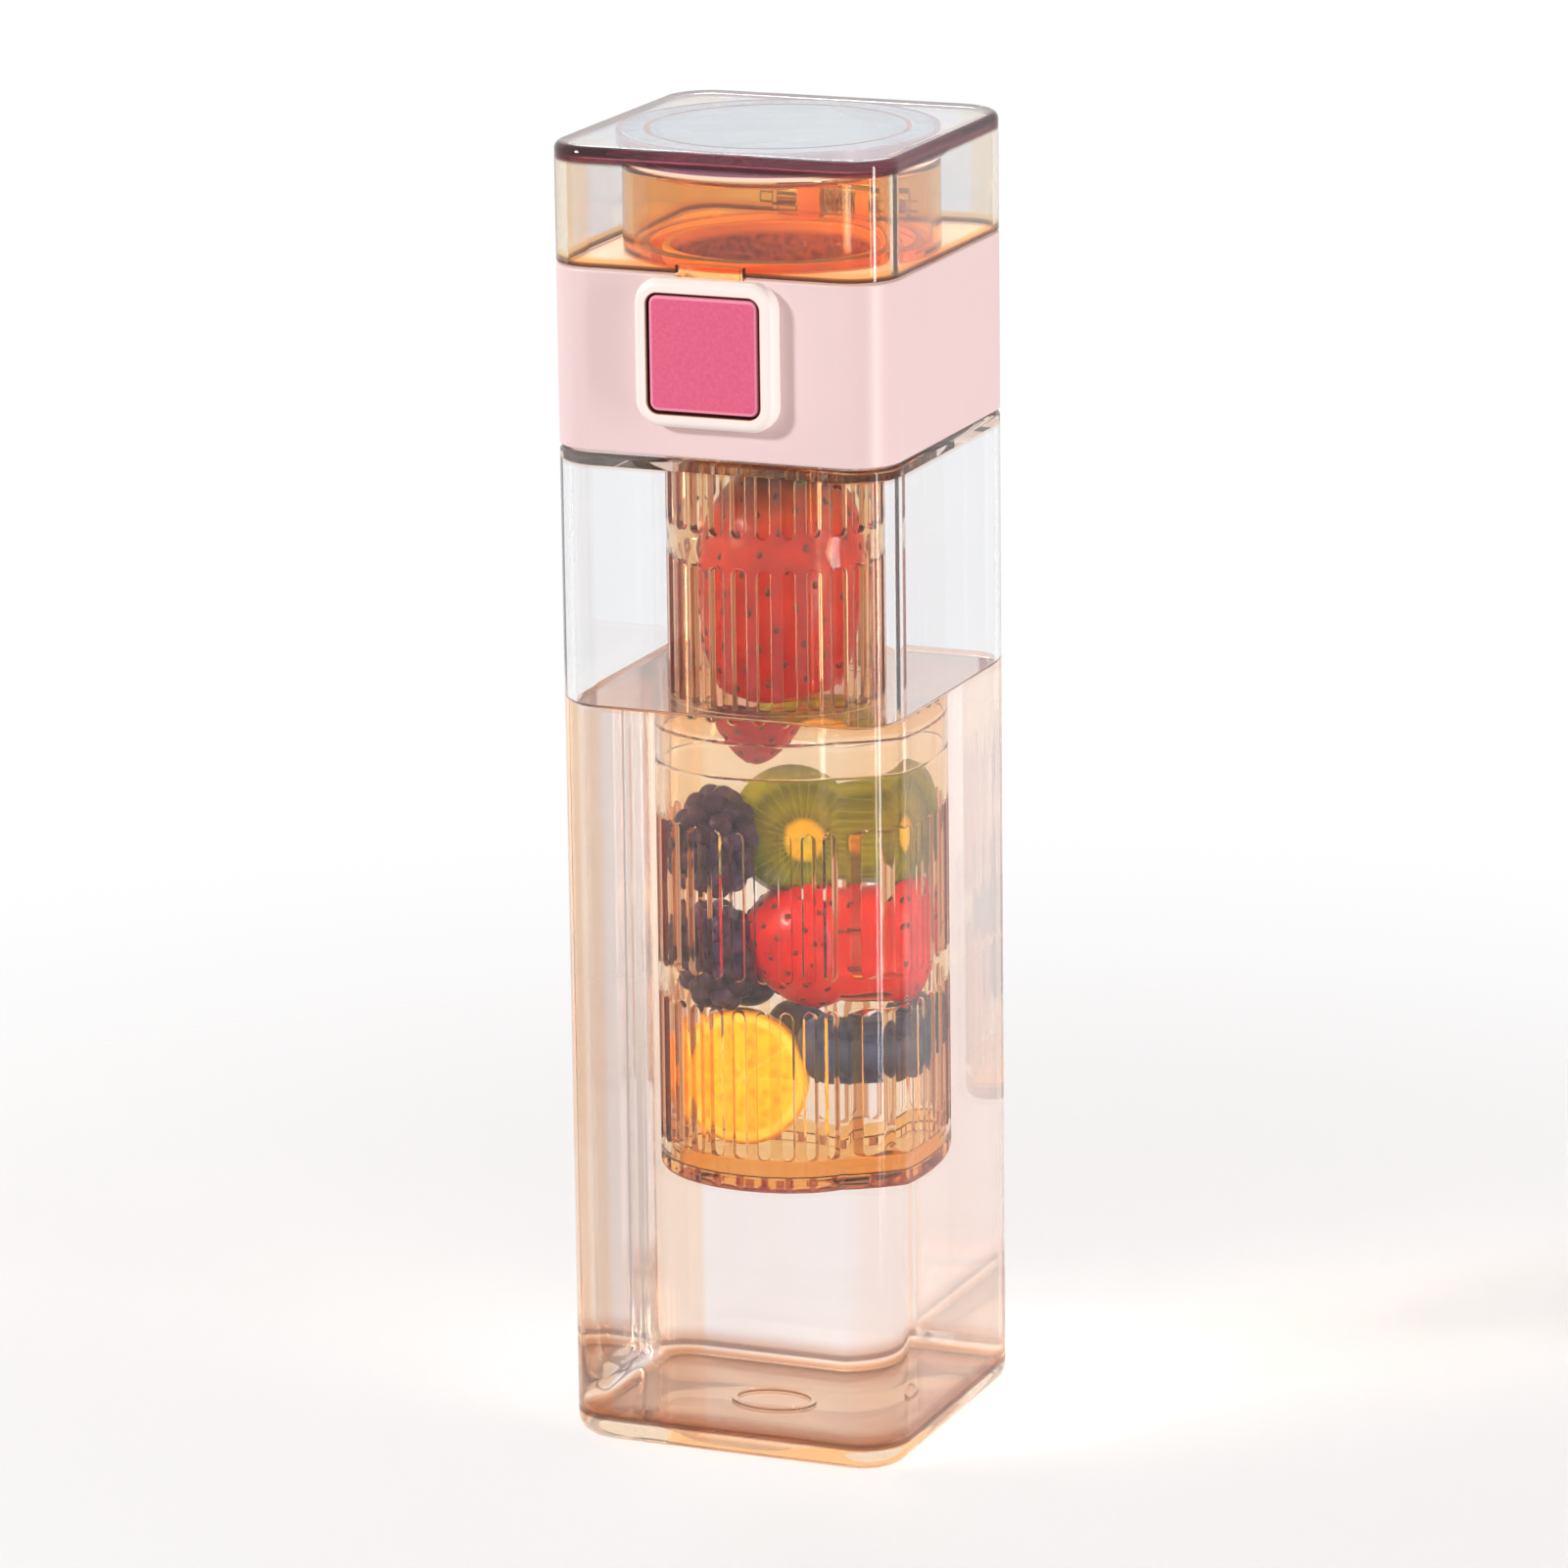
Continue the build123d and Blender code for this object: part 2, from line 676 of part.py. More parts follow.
# Lid, with two ribs that hold its seal and the inner hinge knuckles
lid_inner = half - lid_wall
outer_rib = mouth_radius + slide_gap + turn_gap
lid_inner_rib = mouth_radius - lid_rib_inset
with BuildPart() as lid_shell:
    with BuildSketch(Plane.XY.offset(lid_floor)):
        RectangleRounded(width, width, corner_radius)
    extrude(amount=lid_height)
    fillet(lid_shell.edges().group_by(Axis.Z)[-1], radius=lid_top_round)
    with BuildSketch(Plane.XY.offset(lid_floor)):
        RectangleRounded(2 * lid_inner, 2 * lid_inner, corner_radius - lid_wall)
    extrude(amount=lid_height - lid_plate, mode=Mode.SUBTRACT)
    ring(outer_rib, outer_rib + lid_rib_width, plate_floor - lid_rib_height, plate_floor)
    ring(lid_inner_rib, lid_inner_rib + lid_rib_width, plate_floor - lid_rib_height, plate_floor)
    block(
        (-tab_width / 2, tab_width / 2),
        (front - overrun, front + lid_wall + overrun),
        (lid_floor - overrun, tab_top),
        mode=Mode.SUBTRACT,
    )
    hinge_barrel(knuckle_relief, (0, lid_knuckle_start), mode=Mode.SUBTRACT)
    hinge_barrel(knuckle_radius, (lid_knuckle_start, lid_knuckle_end))
    hinge_barrel(pin_radius + pin_gap, (0, lid_knuckle_end + overrun), mode=Mode.SUBTRACT)
    block(
        (-coil_half - leg_room, -coil_half + leg_room),
        (leg_y - leg_room, leg_y + leg_room),
        (hinge_z, hinge_z + hinge_leg + slide_gap),
        mode=Mode.SUBTRACT,
    )
lid_shell.part.label = "lid_shell"
export_step(lid_shell.part, "parts/lid_shell.step")

with BuildPart() as lid_gasket:
    ring(
        lid_inner_rib + lid_rib_width + turn_gap,
        outer_rib - turn_gap,
        mouth_top + slide_gap,
        plate_floor,
    )
lid_gasket.part.label = "lid_gasket"
export_step(lid_gasket.part, "parts/lid_gasket.step")

# Hinge pin
with BuildPart() as hinge_pin:
    hinge_barrel(pin_radius, (0, lid_knuckle_end - slide_gap))
hinge_pin.part.label = "hinge_pin"
export_step(hinge_pin.part, "parts/hinge_pin.step")

# Torsion spring round the pin, one leg down against the head and one up against the lid
coil_points = coil_path(
    Vector(-coil_half, hinge_y, hinge_z),
    Vector(1, 0, 0),
    Vector(0, -1, 0),
    hinge_coil_radius,
    hinge_pitch,
    hinge_turns,
)
leg_offset = Vector(0, 0, hinge_leg)
with BuildPart() as hinge_spring:
    with BuildLine() as hinge_wire_path:
        Line(coil_points[0] + leg_offset, coil_points[0])
        for turn in range(2 * hinge_turns):
            ThreePointArc(*coil_points[2 * turn : 2 * turn + 3])
        Line(coil_points[-1], coil_points[-1] - leg_offset)
    with BuildSketch(Plane(coil_points[0] + leg_offset, z_dir=(0, 0, -1))):
        Circle(hinge_wire / 2)
    sweep(path=hinge_wire_path.line)
hinge_spring.part.label = "hinge_spring"
export_step(hinge_spring.part, "parts/hinge_spring.step")

# Two small coil springs that push the button back out
press_length = pocket_floor - key_back - 2 * press_end_gap
press_pitch = (press_length - press_wire) / press_turns
press_start = key_back + press_end_gap + press_wire / 2
with BuildPart() as press_springs:
    for side in (-1, 1):
        wire_points = coil_path(
            Vector(side * press_pitch_half, press_start, button_height),
            Vector(0, 1, 0),
            Vector(1, 0, 0),
            press_coil_radius,
            press_pitch,
            press_turns,
        )
        with BuildLine() as press_wire_path:
            for turn in range(2 * press_turns):
                ThreePointArc(*wire_points[2 * turn : 2 * turn + 3])
        with BuildSketch(Plane(wire_points[0], z_dir=press_wire_path.line % 0)):
            Circle(press_wire / 2)
        sweep(path=press_wire_path.line)
press_springs.part.label = "press_springs"
export_step(press_springs.part, "parts/press_springs.step")

print("least gap between turns, mm:", hinge_pitch - hinge_wire, round(press_pitch - press_wire, 3))
print("lift of the head over its turn, mm:", thread_lead / thread_starts)
print("hinge line y, z, mm:", hinge_y, hinge_z)
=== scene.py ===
import bpy
import bmesh
import math
import random
from mathutils import Matrix, Vector


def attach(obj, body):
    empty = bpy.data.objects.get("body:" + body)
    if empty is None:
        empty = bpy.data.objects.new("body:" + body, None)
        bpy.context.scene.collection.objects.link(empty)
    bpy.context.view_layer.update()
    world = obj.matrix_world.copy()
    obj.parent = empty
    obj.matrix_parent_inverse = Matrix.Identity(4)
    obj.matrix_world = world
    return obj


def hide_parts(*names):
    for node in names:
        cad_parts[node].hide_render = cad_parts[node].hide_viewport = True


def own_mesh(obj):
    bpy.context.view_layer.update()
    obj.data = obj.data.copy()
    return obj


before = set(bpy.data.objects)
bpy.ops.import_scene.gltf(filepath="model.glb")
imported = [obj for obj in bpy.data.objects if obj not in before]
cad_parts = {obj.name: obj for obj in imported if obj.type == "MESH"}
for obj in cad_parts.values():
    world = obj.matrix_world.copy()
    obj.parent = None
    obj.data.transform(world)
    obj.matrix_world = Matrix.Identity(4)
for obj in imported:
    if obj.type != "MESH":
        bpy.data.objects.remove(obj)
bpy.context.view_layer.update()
scene = bpy.context.scene


# Camera, fitted to the corners of the bottle in the photograph
cameraValues = {
    "azimuth": 22.637,  # degrees towards +X from the button's face
    "elevation": 14.491,
    "roll": -0.737,
    "distance": 1.3522,
    "focalPixels": 7944.9,
    "frameSide": 1601,
    "sensor": 36.0,
    "aimHeight": 0.11473,
    "acrossOffset": -0.00041,
    "upOffset": -0.00114,
}


def makeCamera(v):
    a, e = math.radians(v["azimuth"]), math.radians(v["elevation"])
    back = Vector((math.sin(a) * math.cos(e), -math.cos(a) * math.cos(e), math.sin(e)))
    right = Vector((math.cos(a), math.sin(a), 0))
    up = back.cross(right)
    roll = math.radians(v["roll"])
    rolledRight = math.cos(roll) * right + math.sin(roll) * up
    rolledUp = -math.sin(roll) * right + math.cos(roll) * up
    place = Vector((0, 0, v["aimHeight"])) + back * v["distance"]
    place += rolledRight * v["acrossOffset"] + rolledUp * v["upOffset"]
    camera = bpy.data.objects.new("camera", bpy.data.cameras.new("camera"))
    camera.data.sensor_width = v["sensor"]
    camera.data.lens = v["focalPixels"] * v["sensor"] / v["frameSide"]
    turn = Matrix((rolledRight, rolledUp, back)).transposed().to_4x4()
    camera.matrix_world = Matrix.Translation(place) @ turn
    scene.collection.objects.link(camera)
    scene.camera = camera
    print("camera set")


makeCamera(cameraValues)


# Shape helpers. A row is (distance from the axis, height), and corner arcs keep their centres.
shapeValues = {
    "cornerCentre": 0.0223,  # from the axis to the centre of each corner's arc, along X and Y
    "sharpAngle": 32,  # degrees past which an edge stays crisp
    "bevelAngle": 40,
    "weld": 1e-7,
    "looseWeld": 1e-6,
}


def arcRows(centreDistance, centreHeight, radius, startAngle, endAngle, steps=6):
    # part of a circle in the section, angles in degrees from outward towards up
    rows = []
    for step in range(steps + 1):
        angle = math.radians(startAngle + (endAngle - startAngle) * step / steps)
        rows.append((centreDistance + radius * math.cos(angle), centreHeight + radius * math.sin(angle)))
    return rows


def lipRows(outer, bore, top, radius, steps):
    # a ring's rounded upper edge, from its outside to its bore
    rows = arcRows(outer - radius, top - radius, radius, 0, 90, steps)
    return rows + arcRows(bore + radius, top - radius, radius, 90, 180, steps)


def outlinePoint(number, count, distance, height, cornerCentre):
    # a place on a circle, or on a rounded square whose corner arcs have their centres that far out
    if cornerCentre is None:
        angle = 2 * math.pi * number / count
        return (distance * math.cos(angle), distance * math.sin(angle), height)
    steps = count // 4
    quadrant, step = divmod(number, steps)
    angle = math.pi / 2 * (quadrant + step / (steps - 1))
    sideX = 1 if quadrant in (0, 3) else -1
    sideY = 1 if quadrant in (0, 1) else -1
    reach = distance - cornerCentre
    return (sideX * cornerCentre + reach * math.cos(angle), sideY * cornerCentre + reach * math.sin(angle), height)


def vertsOf(geom):
    return [g for g in geom if isinstance(g, bmesh.types.BMVert)]


def weldVerts(bm, distance=shapeValues["weld"]):
    bmesh.ops.remove_doubles(bm, verts=bm.verts, dist=distance)


def extrudeLoop(bm, edges):
    # grows a band from a loop, and gives the new loop's points and edges
    grown = bmesh.ops.extrude_edge_only(bm, edges=edges)["geom"]
    ring = set(vertsOf(grown))
    return ring, [g for g in grown if isinstance(g, bmesh.types.BMEdge) and all(p in ring for p in g.verts)]


def stackOutlines(bm, rows, square=(), closed=False, count=64, corner=shapeValues["cornerCentre"]):
    # a loop of edges is extruded from row to row; the rows whose numbers are in square are rounded squares
    order = bm.verts.layers.int.get("order") or bm.verts.layers.int.new("order")
    ring = bmesh.ops.create_circle(bm, segments=count, radius=1)["verts"]
    for number, vert in enumerate(sorted(ring, key=lambda p: math.atan2(p.co.y, p.co.x))):
        vert[order] = number
    loop = list({e for p in ring for e in p.link_edges})
    for step, row in enumerate(list(rows) + (list(rows[:1]) if closed else [])):
        if step:
            ring, loop = extrudeLoop(bm, loop)
        centre = None
        if square:
            centre = corner if step % len(rows) in square else 0.0
        for vert in ring:
            vert.co = outlinePoint(vert[order], count, *row, centre)
        if step == 0 and not closed:
            bmesh.ops.contextual_create(bm, geom=loop)
    if not closed:
        bmesh.ops.contextual_create(bm, geom=loop)
    weldVerts(bm)
    bmesh.ops.dissolve_degenerate(bm, edges=bm.edges, dist=shapeValues["weld"] / 10)


def meshObject(name, bm, material=None):
    mesh = bpy.data.meshes.new(name)
    bm.to_mesh(mesh)
    bm.free()
    if material:
        mesh.materials.append(material)
    piece = bpy.data.objects.new(name, mesh)
    scene.collection.objects.link(piece)
    return piece


def rawPiece(name, bm, material, recalc=True):
    # a piece that booleans may still shape, not yet riding on a body
    weldVerts(bm)
    if recalc:
        bmesh.ops.recalc_face_normals(bm, faces=bm.faces)
    return meshObject(name, bm, material)


def settlePiece(piece, body, replaced=(), bevel=0):
    piece.data.shade_smooth()
    piece.data.set_sharp_from_angle(angle=math.radians(shapeValues["sharpAngle"]))
    if bevel:
        edges = piece.modifiers.new("edges", "BEVEL")
        edges.width = bevel
        edges.segments = 2
        edges.limit_method = "ANGLE"
        edges.angle_limit = math.radians(shapeValues["bevelAngle"])
    normals = piece.modifiers.new("normals", "WEIGHTED_NORMAL")
    normals.keep_sharp = True
    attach(piece, body)
    if replaced:
        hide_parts(*replaced)


def finishPiece(name, bm, body, material, replaced=(), recalc=True, bevel=0):
    piece = rawPiece(name, bm, material, recalc)
    settlePiece(piece, body, replaced, bevel)
    return piece


def shapeWith(piece, cutters):
    # cuts or joins helper shapes with exact booleans, then drops the helpers
    for operation, bm in cutters:
        bmesh.ops.recalc_face_normals(bm, faces=bm.faces)
        helper = meshObject("helper", bm)
        old, spare = piece.data, helper.data
        cut = piece.modifiers.new("cut", "BOOLEAN")
        cut.operation = operation
        cut.object = helper
        cut.solver = "EXACT"
        bpy.context.view_layer.update()
        shaped = bpy.data.meshes.new_from_object(piece.evaluated_get(bpy.context.evaluated_depsgraph_get()))
        piece.modifiers.remove(cut)
        piece.data = shaped
        shaped.name = piece.name
        bpy.data.meshes.remove(old)
        bpy.data.objects.remove(helper)
        bpy.data.meshes.remove(spare)


def boxShape(low, high):
    bm = bmesh.new()
    size = [b - a for a, b in zip(low, high)]
    middle = [(a + b) / 2 for a, b in zip(low, high)]
    bmesh.ops.create_cube(bm, size=1, matrix=Matrix.Translation(middle) @ Matrix.Diagonal((*size, 1)))
    return bm


def barrelShape(radius, ends, y, z, bm=None):
    # a cylinder along X
    bm = bmesh.new() if bm is None else bm
    place = Matrix.Translation(((ends[0] + ends[1]) / 2, y, z)) @ Matrix.Rotation(math.pi / 2, 4, "Y")
    bmesh.ops.create_cone(bm, cap_ends=True, segments=48, radius1=radius, radius2=radius,
                          depth=ends[1] - ends[0], matrix=place)
    return bm


# Materials. Each one starts from Object coordinates, and these helpers add its nodes.
def startMaterial(name):
    material = bpy.data.materials.new(name)
    material.use_nodes = True
    tree = material.node_tree
    place = tree.nodes.new("ShaderNodeTexCoord").outputs["Object"]
    return material, tree, tree.nodes["Principled BSDF"], place


def setInputs(tree, node, inputs):
    # an output is linked, and a number or a colour is written on the socket itself
    for name, value in inputs.items():
        socket = node.inputs[name]
        if isinstance(value, bpy.types.NodeSocket):
            tree.links.new(value, socket)
        elif isinstance(value, tuple) and len(socket.default_value) == 4:
            socket.default_value = (*value, 1)
        else:
            socket.default_value = value


def addNode(tree, kind, inputs, **settings):
    node = tree.nodes.new("ShaderNode" + kind)
    for name, value in settings.items():
        setattr(node, name, value)
    setInputs(tree, node, inputs)
    return node


def mathNode(tree, operation, *values):
    return addNode(tree, "Math", dict(enumerate(values)), operation=operation).outputs[0]


def vectorNode(tree, operation, *values):
    node = addNode(tree, "VectorMath", dict(enumerate(values)), operation=operation)
    return node.outputs["Value" if operation == "LENGTH" else "Vector"]


def colourRamp(tree, factor, stops):
    ramp = addNode(tree, "ValToRGB", {"Fac": factor})
    elements = ramp.color_ramp.elements
    while len(elements) < len(stops):
        elements.new(0.5)
    for element, (position, colour) in zip(elements, stops):
        element.position = position
        element.color = (*colour, 1)
    return ramp.outputs["Color"]


def mixColour(tree, factor, first, second, blend="MIX"):
    return addNode(tree, "Mix", {0: factor, 6: first, 7: second}, data_type="RGBA", blend_type=blend).outputs[2]


def mixShader(tree, factor, first, second):
    return addNode(tree, "MixShader", {0: factor, 1: first.outputs[0], 2: second.outputs[0]})


def shareBetween(tree, value, low, high, **settings):
    # 0 at low, 1 at high
    node = addNode(tree, "MapRange", {"Value": value, "From Min": low, "From Max": high}, **settings)
    return node.outputs["Result"]


def cloud(tree, place, scale, detail=2.0):
    return addNode(tree, "TexNoise", {"Scale": scale, "Detail": detail, "Vector": place}).outputs["Fac"]


def addBump(tree, shader, height, strength, distance):
    bump = addNode(tree, "Bump", {"Strength": strength, "Distance": distance, "Height": height})
    setInputs(tree, shader, {"Normal": bump.outputs["Normal"]})


def pastArcs(tree, place, centres):
    # how far out a place is past the arc centres of a rounded square
    place = vectorNode(tree, "SUBTRACT", vectorNode(tree, "ABSOLUTE", place), centres)
    return vectorNode(tree, "LENGTH", vectorNode(tree, "MAXIMUM", place, (0, 0, 0)))


def measure(tree, place, kind):
    # height; across: X; reach: how far out past the corner arcs' centres; corner: nearness to an upright corner;
    # spread: the larger of |X| and |Y|; axis: distance from the upright axis;
    # a tuple is a rounded square in XZ, as (middle height, arc centre)
    if isinstance(kind, tuple):
        middle, centre = kind
        return pastArcs(tree, vectorNode(tree, "SUBTRACT", place, (0, 0, middle)), (centre, 1, centre))
    if kind == "reach":
        centre = shapeValues["cornerCentre"]
        return pastArcs(tree, place, (centre, centre, 1))
    if kind == "axis":
        return vectorNode(tree, "LENGTH", vectorNode(tree, "MULTIPLY", place, (1, 1, 0)))
    if kind in ("corner", "spread"):
        parts = addNode(tree, "SeparateXYZ", {0: vectorNode(tree, "ABSOLUTE", place)}).outputs
        return mathNode(tree, "MINIMUM" if kind == "corner" else "MAXIMUM", parts["X"], parts["Y"])
    return addNode(tree, "SeparateXYZ", {0: place}).outputs["Z" if kind == "height" else "X"]


def zoned(tree, place, base, zones):
    # each zone is a colour and the measures that bound it, as (kind, where it begins, where it is full)
    for colour, bounds in zones:
        share = None
        for kind, start, full in bounds:
            step = shareBetween(tree, measure(tree, place, kind), start, full, interpolation_type="SMOOTHSTEP")
            share = mathNode(tree, "MULTIPLY", share, step) if share else step
        base = mixColour(tree, share, base, colour)
    return base


def clearMaterial(name, v):
    # clear plastic or liquid: a cloudy tint with zones, slight waves, and shadows that let light through
    material, tree, shader, place = startMaterial(name)
    tint = colourRamp(tree, cloud(tree, place, v["mottleScale"]), [(0.35, v["tint"]), (0.65, v["mottle"])])
    setInputs(tree, shader, {
        "Base Color": zoned(tree, place, tint, v["zones"]), "Transmission Weight": v.get("clear", 1),
        "IOR": v["ior"], "Roughness": v["roughness"], "Alpha": v.get("alpha", 1),
        "Specular IOR Level": v.get("specular", 0.5)})
    addBump(tree, shader, cloud(tree, place, v["waveScale"]), v["wave"], 0.0002)
    shadow = addNode(tree, "BsdfTransparent", {"Color": v["shadow"]})
    rays = addNode(tree, "LightPath", {})
    output = tree.nodes["Material Output"]
    surface = mixShader(tree, rays.outputs["Is Shadow Ray"], shader, shadow)
    setInputs(tree, output, {"Surface": surface.outputs["Shader"]})
    if v.get("density"):
        absorb = addNode(tree, "VolumeAbsorption", {"Color": v["absorb"], "Density": v["density"]})
        setInputs(tree, output, {"Volume": absorb.outputs["Volume"]})
    return material


def mouldedMaterial(name, v):
    # satin moulded plastic: fine grain, slight cloudiness in the colour and worn-smooth patches
    material, tree, shader, place = startMaterial(name)
    clouds = cloud(tree, place, v["cloudScale"], 3)
    base = colourRamp(tree, clouds, [(0.3, v["colour"]), (0.7, v["cloudColour"])])
    smooth, rough = v["roughness"]
    worn = addNode(tree, "MapRange", {"Value": clouds, "To Min": smooth, "To Max": rough})
    setInputs(tree, shader, {
        "Base Color": zoned(tree, place, base, v.get("zones", [])), "Roughness": worn.outputs["Result"],
        "Specular IOR Level": v["specular"]})
    addBump(tree, shader, cloud(tree, place, v["grainScale"], 3), v["grain"], 0.0001)
    if v.get("glow"):
        setInputs(tree, shader, {
            "Subsurface Weight": v["glow"], "Subsurface Radius": (1.0, 0.5, 0.4), "Subsurface Scale": 0.002})
    return material


def steelMaterial(name, v):
    material, tree, shader, place = startMaterial(name)
    streaks = cloud(tree, place, v["streakScale"])
    setInputs(tree, shader, {
        "Metallic": 1, "Base Color": colourRamp(tree, streaks, [(0, v["colour"]), (1, v["bright"])]),
        "Roughness": v["roughness"]})
    addBump(tree, shader, streaks, v["grain"], 0.00005)
    return material


clearTankValues = {
    "ior": 1.3, "roughness": 0.0, "alpha": 0.95, "specular": 0.2,
    "tint": (0.94, 0.945, 0.96), "mottle": (0.96, 0.965, 0.975), "mottleScale": 30,
    "zones": [
        ((1.0, 1.0, 1.0), [("height", 0.1335, 0.1305)]),
        # painted shade: a brownish band at the top of the walls, just under the head, for the shade of the seam
        ((0.80, 0.60, 0.50), [("height", 0.1740, 0.1750), ("reach", 0.0060, 0.0076)]),
        ((0.97, 0.66, 0.42), [("height", 0.0050, 0.0034)]),
        ((0.88, 0.54, 0.30), [("height", 0.0046, 0.0039), ("reach", 0.0078, 0.0070)]),
        # painted shade on the foot: the floor darkens towards its edges, and a brown band with a near-black line runs
        # round the outside where the floor meets the wall; the amber zones around them are the plastic's tint
        ((0.56, 0.24, 0.11), [("height", 0.0046, 0.0039), ("spread", 0.004, 0.026), ("reach", 0.0078, 0.0070)]),
        ((0.52, 0.24, 0.13), [("height", 0.0085, 0.0052), ("height", 0.0038, 0.0043), ("reach", 0.0078, 0.0083)]),
        ((0.10, 0.025, 0.012), [("height", 0.0056, 0.0050), ("height", 0.0040, 0.0044), ("reach", 0.0078, 0.0083)]),
        ((0.80, 0.42, 0.14), [("height", 0.0024, 0.0014), ("reach", 0.0078, 0.0070)]),
    ],
    "waveScale": 18, "wave": 0.012, "shadow": (0.98, 0.98, 0.98),
}
clearLidValues = dict(
    clearTankValues, ior=1.42, specular=0.3, alpha=0.96, tint=(0.86, 0.865, 0.87), mottle=(0.89, 0.89, 0.895),
    zones=[
        ((0.90, 0.78, 0.62), [("corner", 0.0212, 0.0230)]),
        ((0.84, 0.89, 0.94), [("height", 0.2285, 0.2292)]),
        ((0.85, 0.55, 0.26), [("height", 0.2108, 0.2102)]),
        # painted shade: a near-black brown line along the lid's lower edge, for the shade of the seam above the head
        ((0.12, 0.03, 0.008), [("height", 0.2097, 0.2094)]),
        # painted shade: a dark maroon line along the rounded edge of the top plate, and dark purple rings on the two
        # ribs under it, for the dark outlines that the clear edges show
        ((0.06, 0.001, 0.003), [("reach", 0.0064, 0.0074), ("height", 0.2260, 0.2268), ("height", 0.22948, 0.2292)]),
        ((0.24, 0.10, 0.22), [("axis", 0.0266, 0.0268), ("axis", 0.0280, 0.0278), ("height", 0.2276, 0.2270)]),
        ((0.24, 0.10, 0.22), [("axis", 0.0217, 0.0219), ("axis", 0.0231, 0.0229), ("height", 0.2276, 0.2270)]),
    ])
amberValues = {
    "ior": 1.4, "roughness": 0.02, "specular": 0.3,
    "tint": (0.93, 0.78, 0.58), "mottle": (0.90, 0.72, 0.50), "mottleScale": 60,
    "zones": [
        # painted shade: the slots' side walls are dark red-brown, for the shade inside the slots; the next zone gives
        # the joint, where the two halves overlap, a paler tint instead
        ((0.50, 0.18, 0.07), [("axis", 0.0186, 0.0188), ("axis", 0.0199, 0.0197)]),
        ((0.99, 0.93, 0.84), [("height", 0.1188, 0.1194), ("height", 0.1274, 0.1268)]),
    ],
    "waveScale": 40, "wave": 0.02, "shadow": (0.98, 0.93, 0.87), "absorb": (0.99, 0.62, 0.16), "density": 130,
}
mouthAmberValues = dict(
    amberValues, tint=(0.97, 0.72, 0.40), mottle=(0.94, 0.66, 0.34), density=230, absorb=(0.99, 0.72, 0.12),
    zones=[((1.0, 0.62, 0.22), [("height", 0.2108, 0.2100)])])
strainerValues = dict(
    amberValues, clear=0.4, tint=(0.62, 0.17, 0.05), mottle=(0.24, 0.05, 0.015), mottleScale=900, roughness=0.2,
    absorb=(0.99, 0.72, 0.12), zones=[((0.97, 0.46, 0.10), [("height", 0.2070, 0.2085)])])
wetAmberValues = dict(amberValues, ior=1.12, tint=(0.97, 0.88, 0.72), mottle=(0.96, 0.84, 0.66), density=35)
capAmberValues = dict(
    wetAmberValues, tint=(0.97, 0.70, 0.34), mottle=(0.95, 0.64, 0.28),
    # painted shade: the notches' walls are dark red-brown, for the shade inside them
    zones=[((0.30, 0.05, 0.02), [("axis", 0.0187, 0.0189), ("axis", 0.0199, 0.0197)])])
drinkValues = {
    "ior": 1.33, "roughness": 0.0, "specular": 0.2,
    "tint": (0.985, 0.905, 0.885), "mottle": (0.995, 0.92, 0.90), "mottleScale": 20,
    "zones": [
        # painted light: the drink has one colour; the paler corners and the orange bands at the sides stand in for
        # the light that the walls and the amber infuser send through it, and the deeper peach on the surface and
        # meniscus is painted light for how the surface shows the drink below
        ((1.0, 0.94, 0.93), [("corner", 0.006, 0.017)]),
        ((1.0, 0.82, 0.73), [("across", 0.020, 0.027)]),
        ((1.0, 0.70, 0.48), [("corner", 0.0212, 0.0228), ("across", 0.0, -0.01)]),
        ((1.0, 0.76, 0.62), [("height", 0.1312, 0.1318)]),
    ],
    "waveScale": 12, "wave": 0.01, "shadow": (0.998, 0.985, 0.975),
}
sealValues = {
    "ior": 1.4, "roughness": 0.3, "clear": 0.12,
    "tint": (0.625, 0.650, 0.695), "mottle": (0.665, 0.690, 0.725), "mottleScale": 90,
    # painted reflection: the seal's underside is peach, for the peach parts below that show in it
    "zones": [((0.92, 0.62, 0.46), [("height", 0.2272, 0.2268)])],
    "waveScale": 40, "wave": 0.02, "shadow": (0.9, 0.88, 0.86),
}
pinkValues = {
    "colour": (0.80, 0.61, 0.605), "cloudColour": (0.82, 0.63, 0.625), "cloudScale": 35,
    "grainScale": 5200, "grain": 0.10, "roughness": (0.36, 0.46), "specular": 0.75, "glow": 0.08,
}
creamValues = dict(
    pinkValues, specular=0.5, colour=(0.93, 0.84, 0.79), cloudColour=(0.95, 0.87, 0.83), roughness=(0.28, 0.36))
peachValues = dict(pinkValues, specular=0.5, colour=(0.98, 0.70, 0.52), cloudColour=(0.99, 0.74, 0.57))
magentaValues = {
    "colour": (0.70, 0.105, 0.215), "cloudColour": (0.76, 0.135, 0.255), "cloudScale": 1500,
    "grainScale": 2600, "grain": 0.3, "roughness": (0.46, 0.6), "specular": 0.35,
    # painted highlight: a lighter pink line round the pad's rim
    "zones": [((0.90, 0.30, 0.42), [((0.1957, 0.0084), 0.0008, 0.00105), ((0.1957, 0.0084), 0.0016, 0.0013)])],
}
frameValues = dict(
    creamValues, zones=[
        # painted shade: the window's inner edge goes brown, then near black, for the shade in the gap round the pad
        ((0.72, 0.34, 0.13), [((0.1957, 0.0082), 0.00235, 0.0022)]),
        ((0.055, 0.018, 0.012), [((0.1957, 0.0082), 0.00222, 0.00214)]),
    ])
siliconeValues = dict(
    pinkValues, specular=0.45, colour=(0.80, 0.74, 0.72), cloudColour=(0.84, 0.79, 0.77), roughness=(0.55, 0.7))
darkValues = dict(pinkValues, specular=0.45, colour=(0.10, 0.045, 0.04), cloudColour=(0.13, 0.06, 0.05))
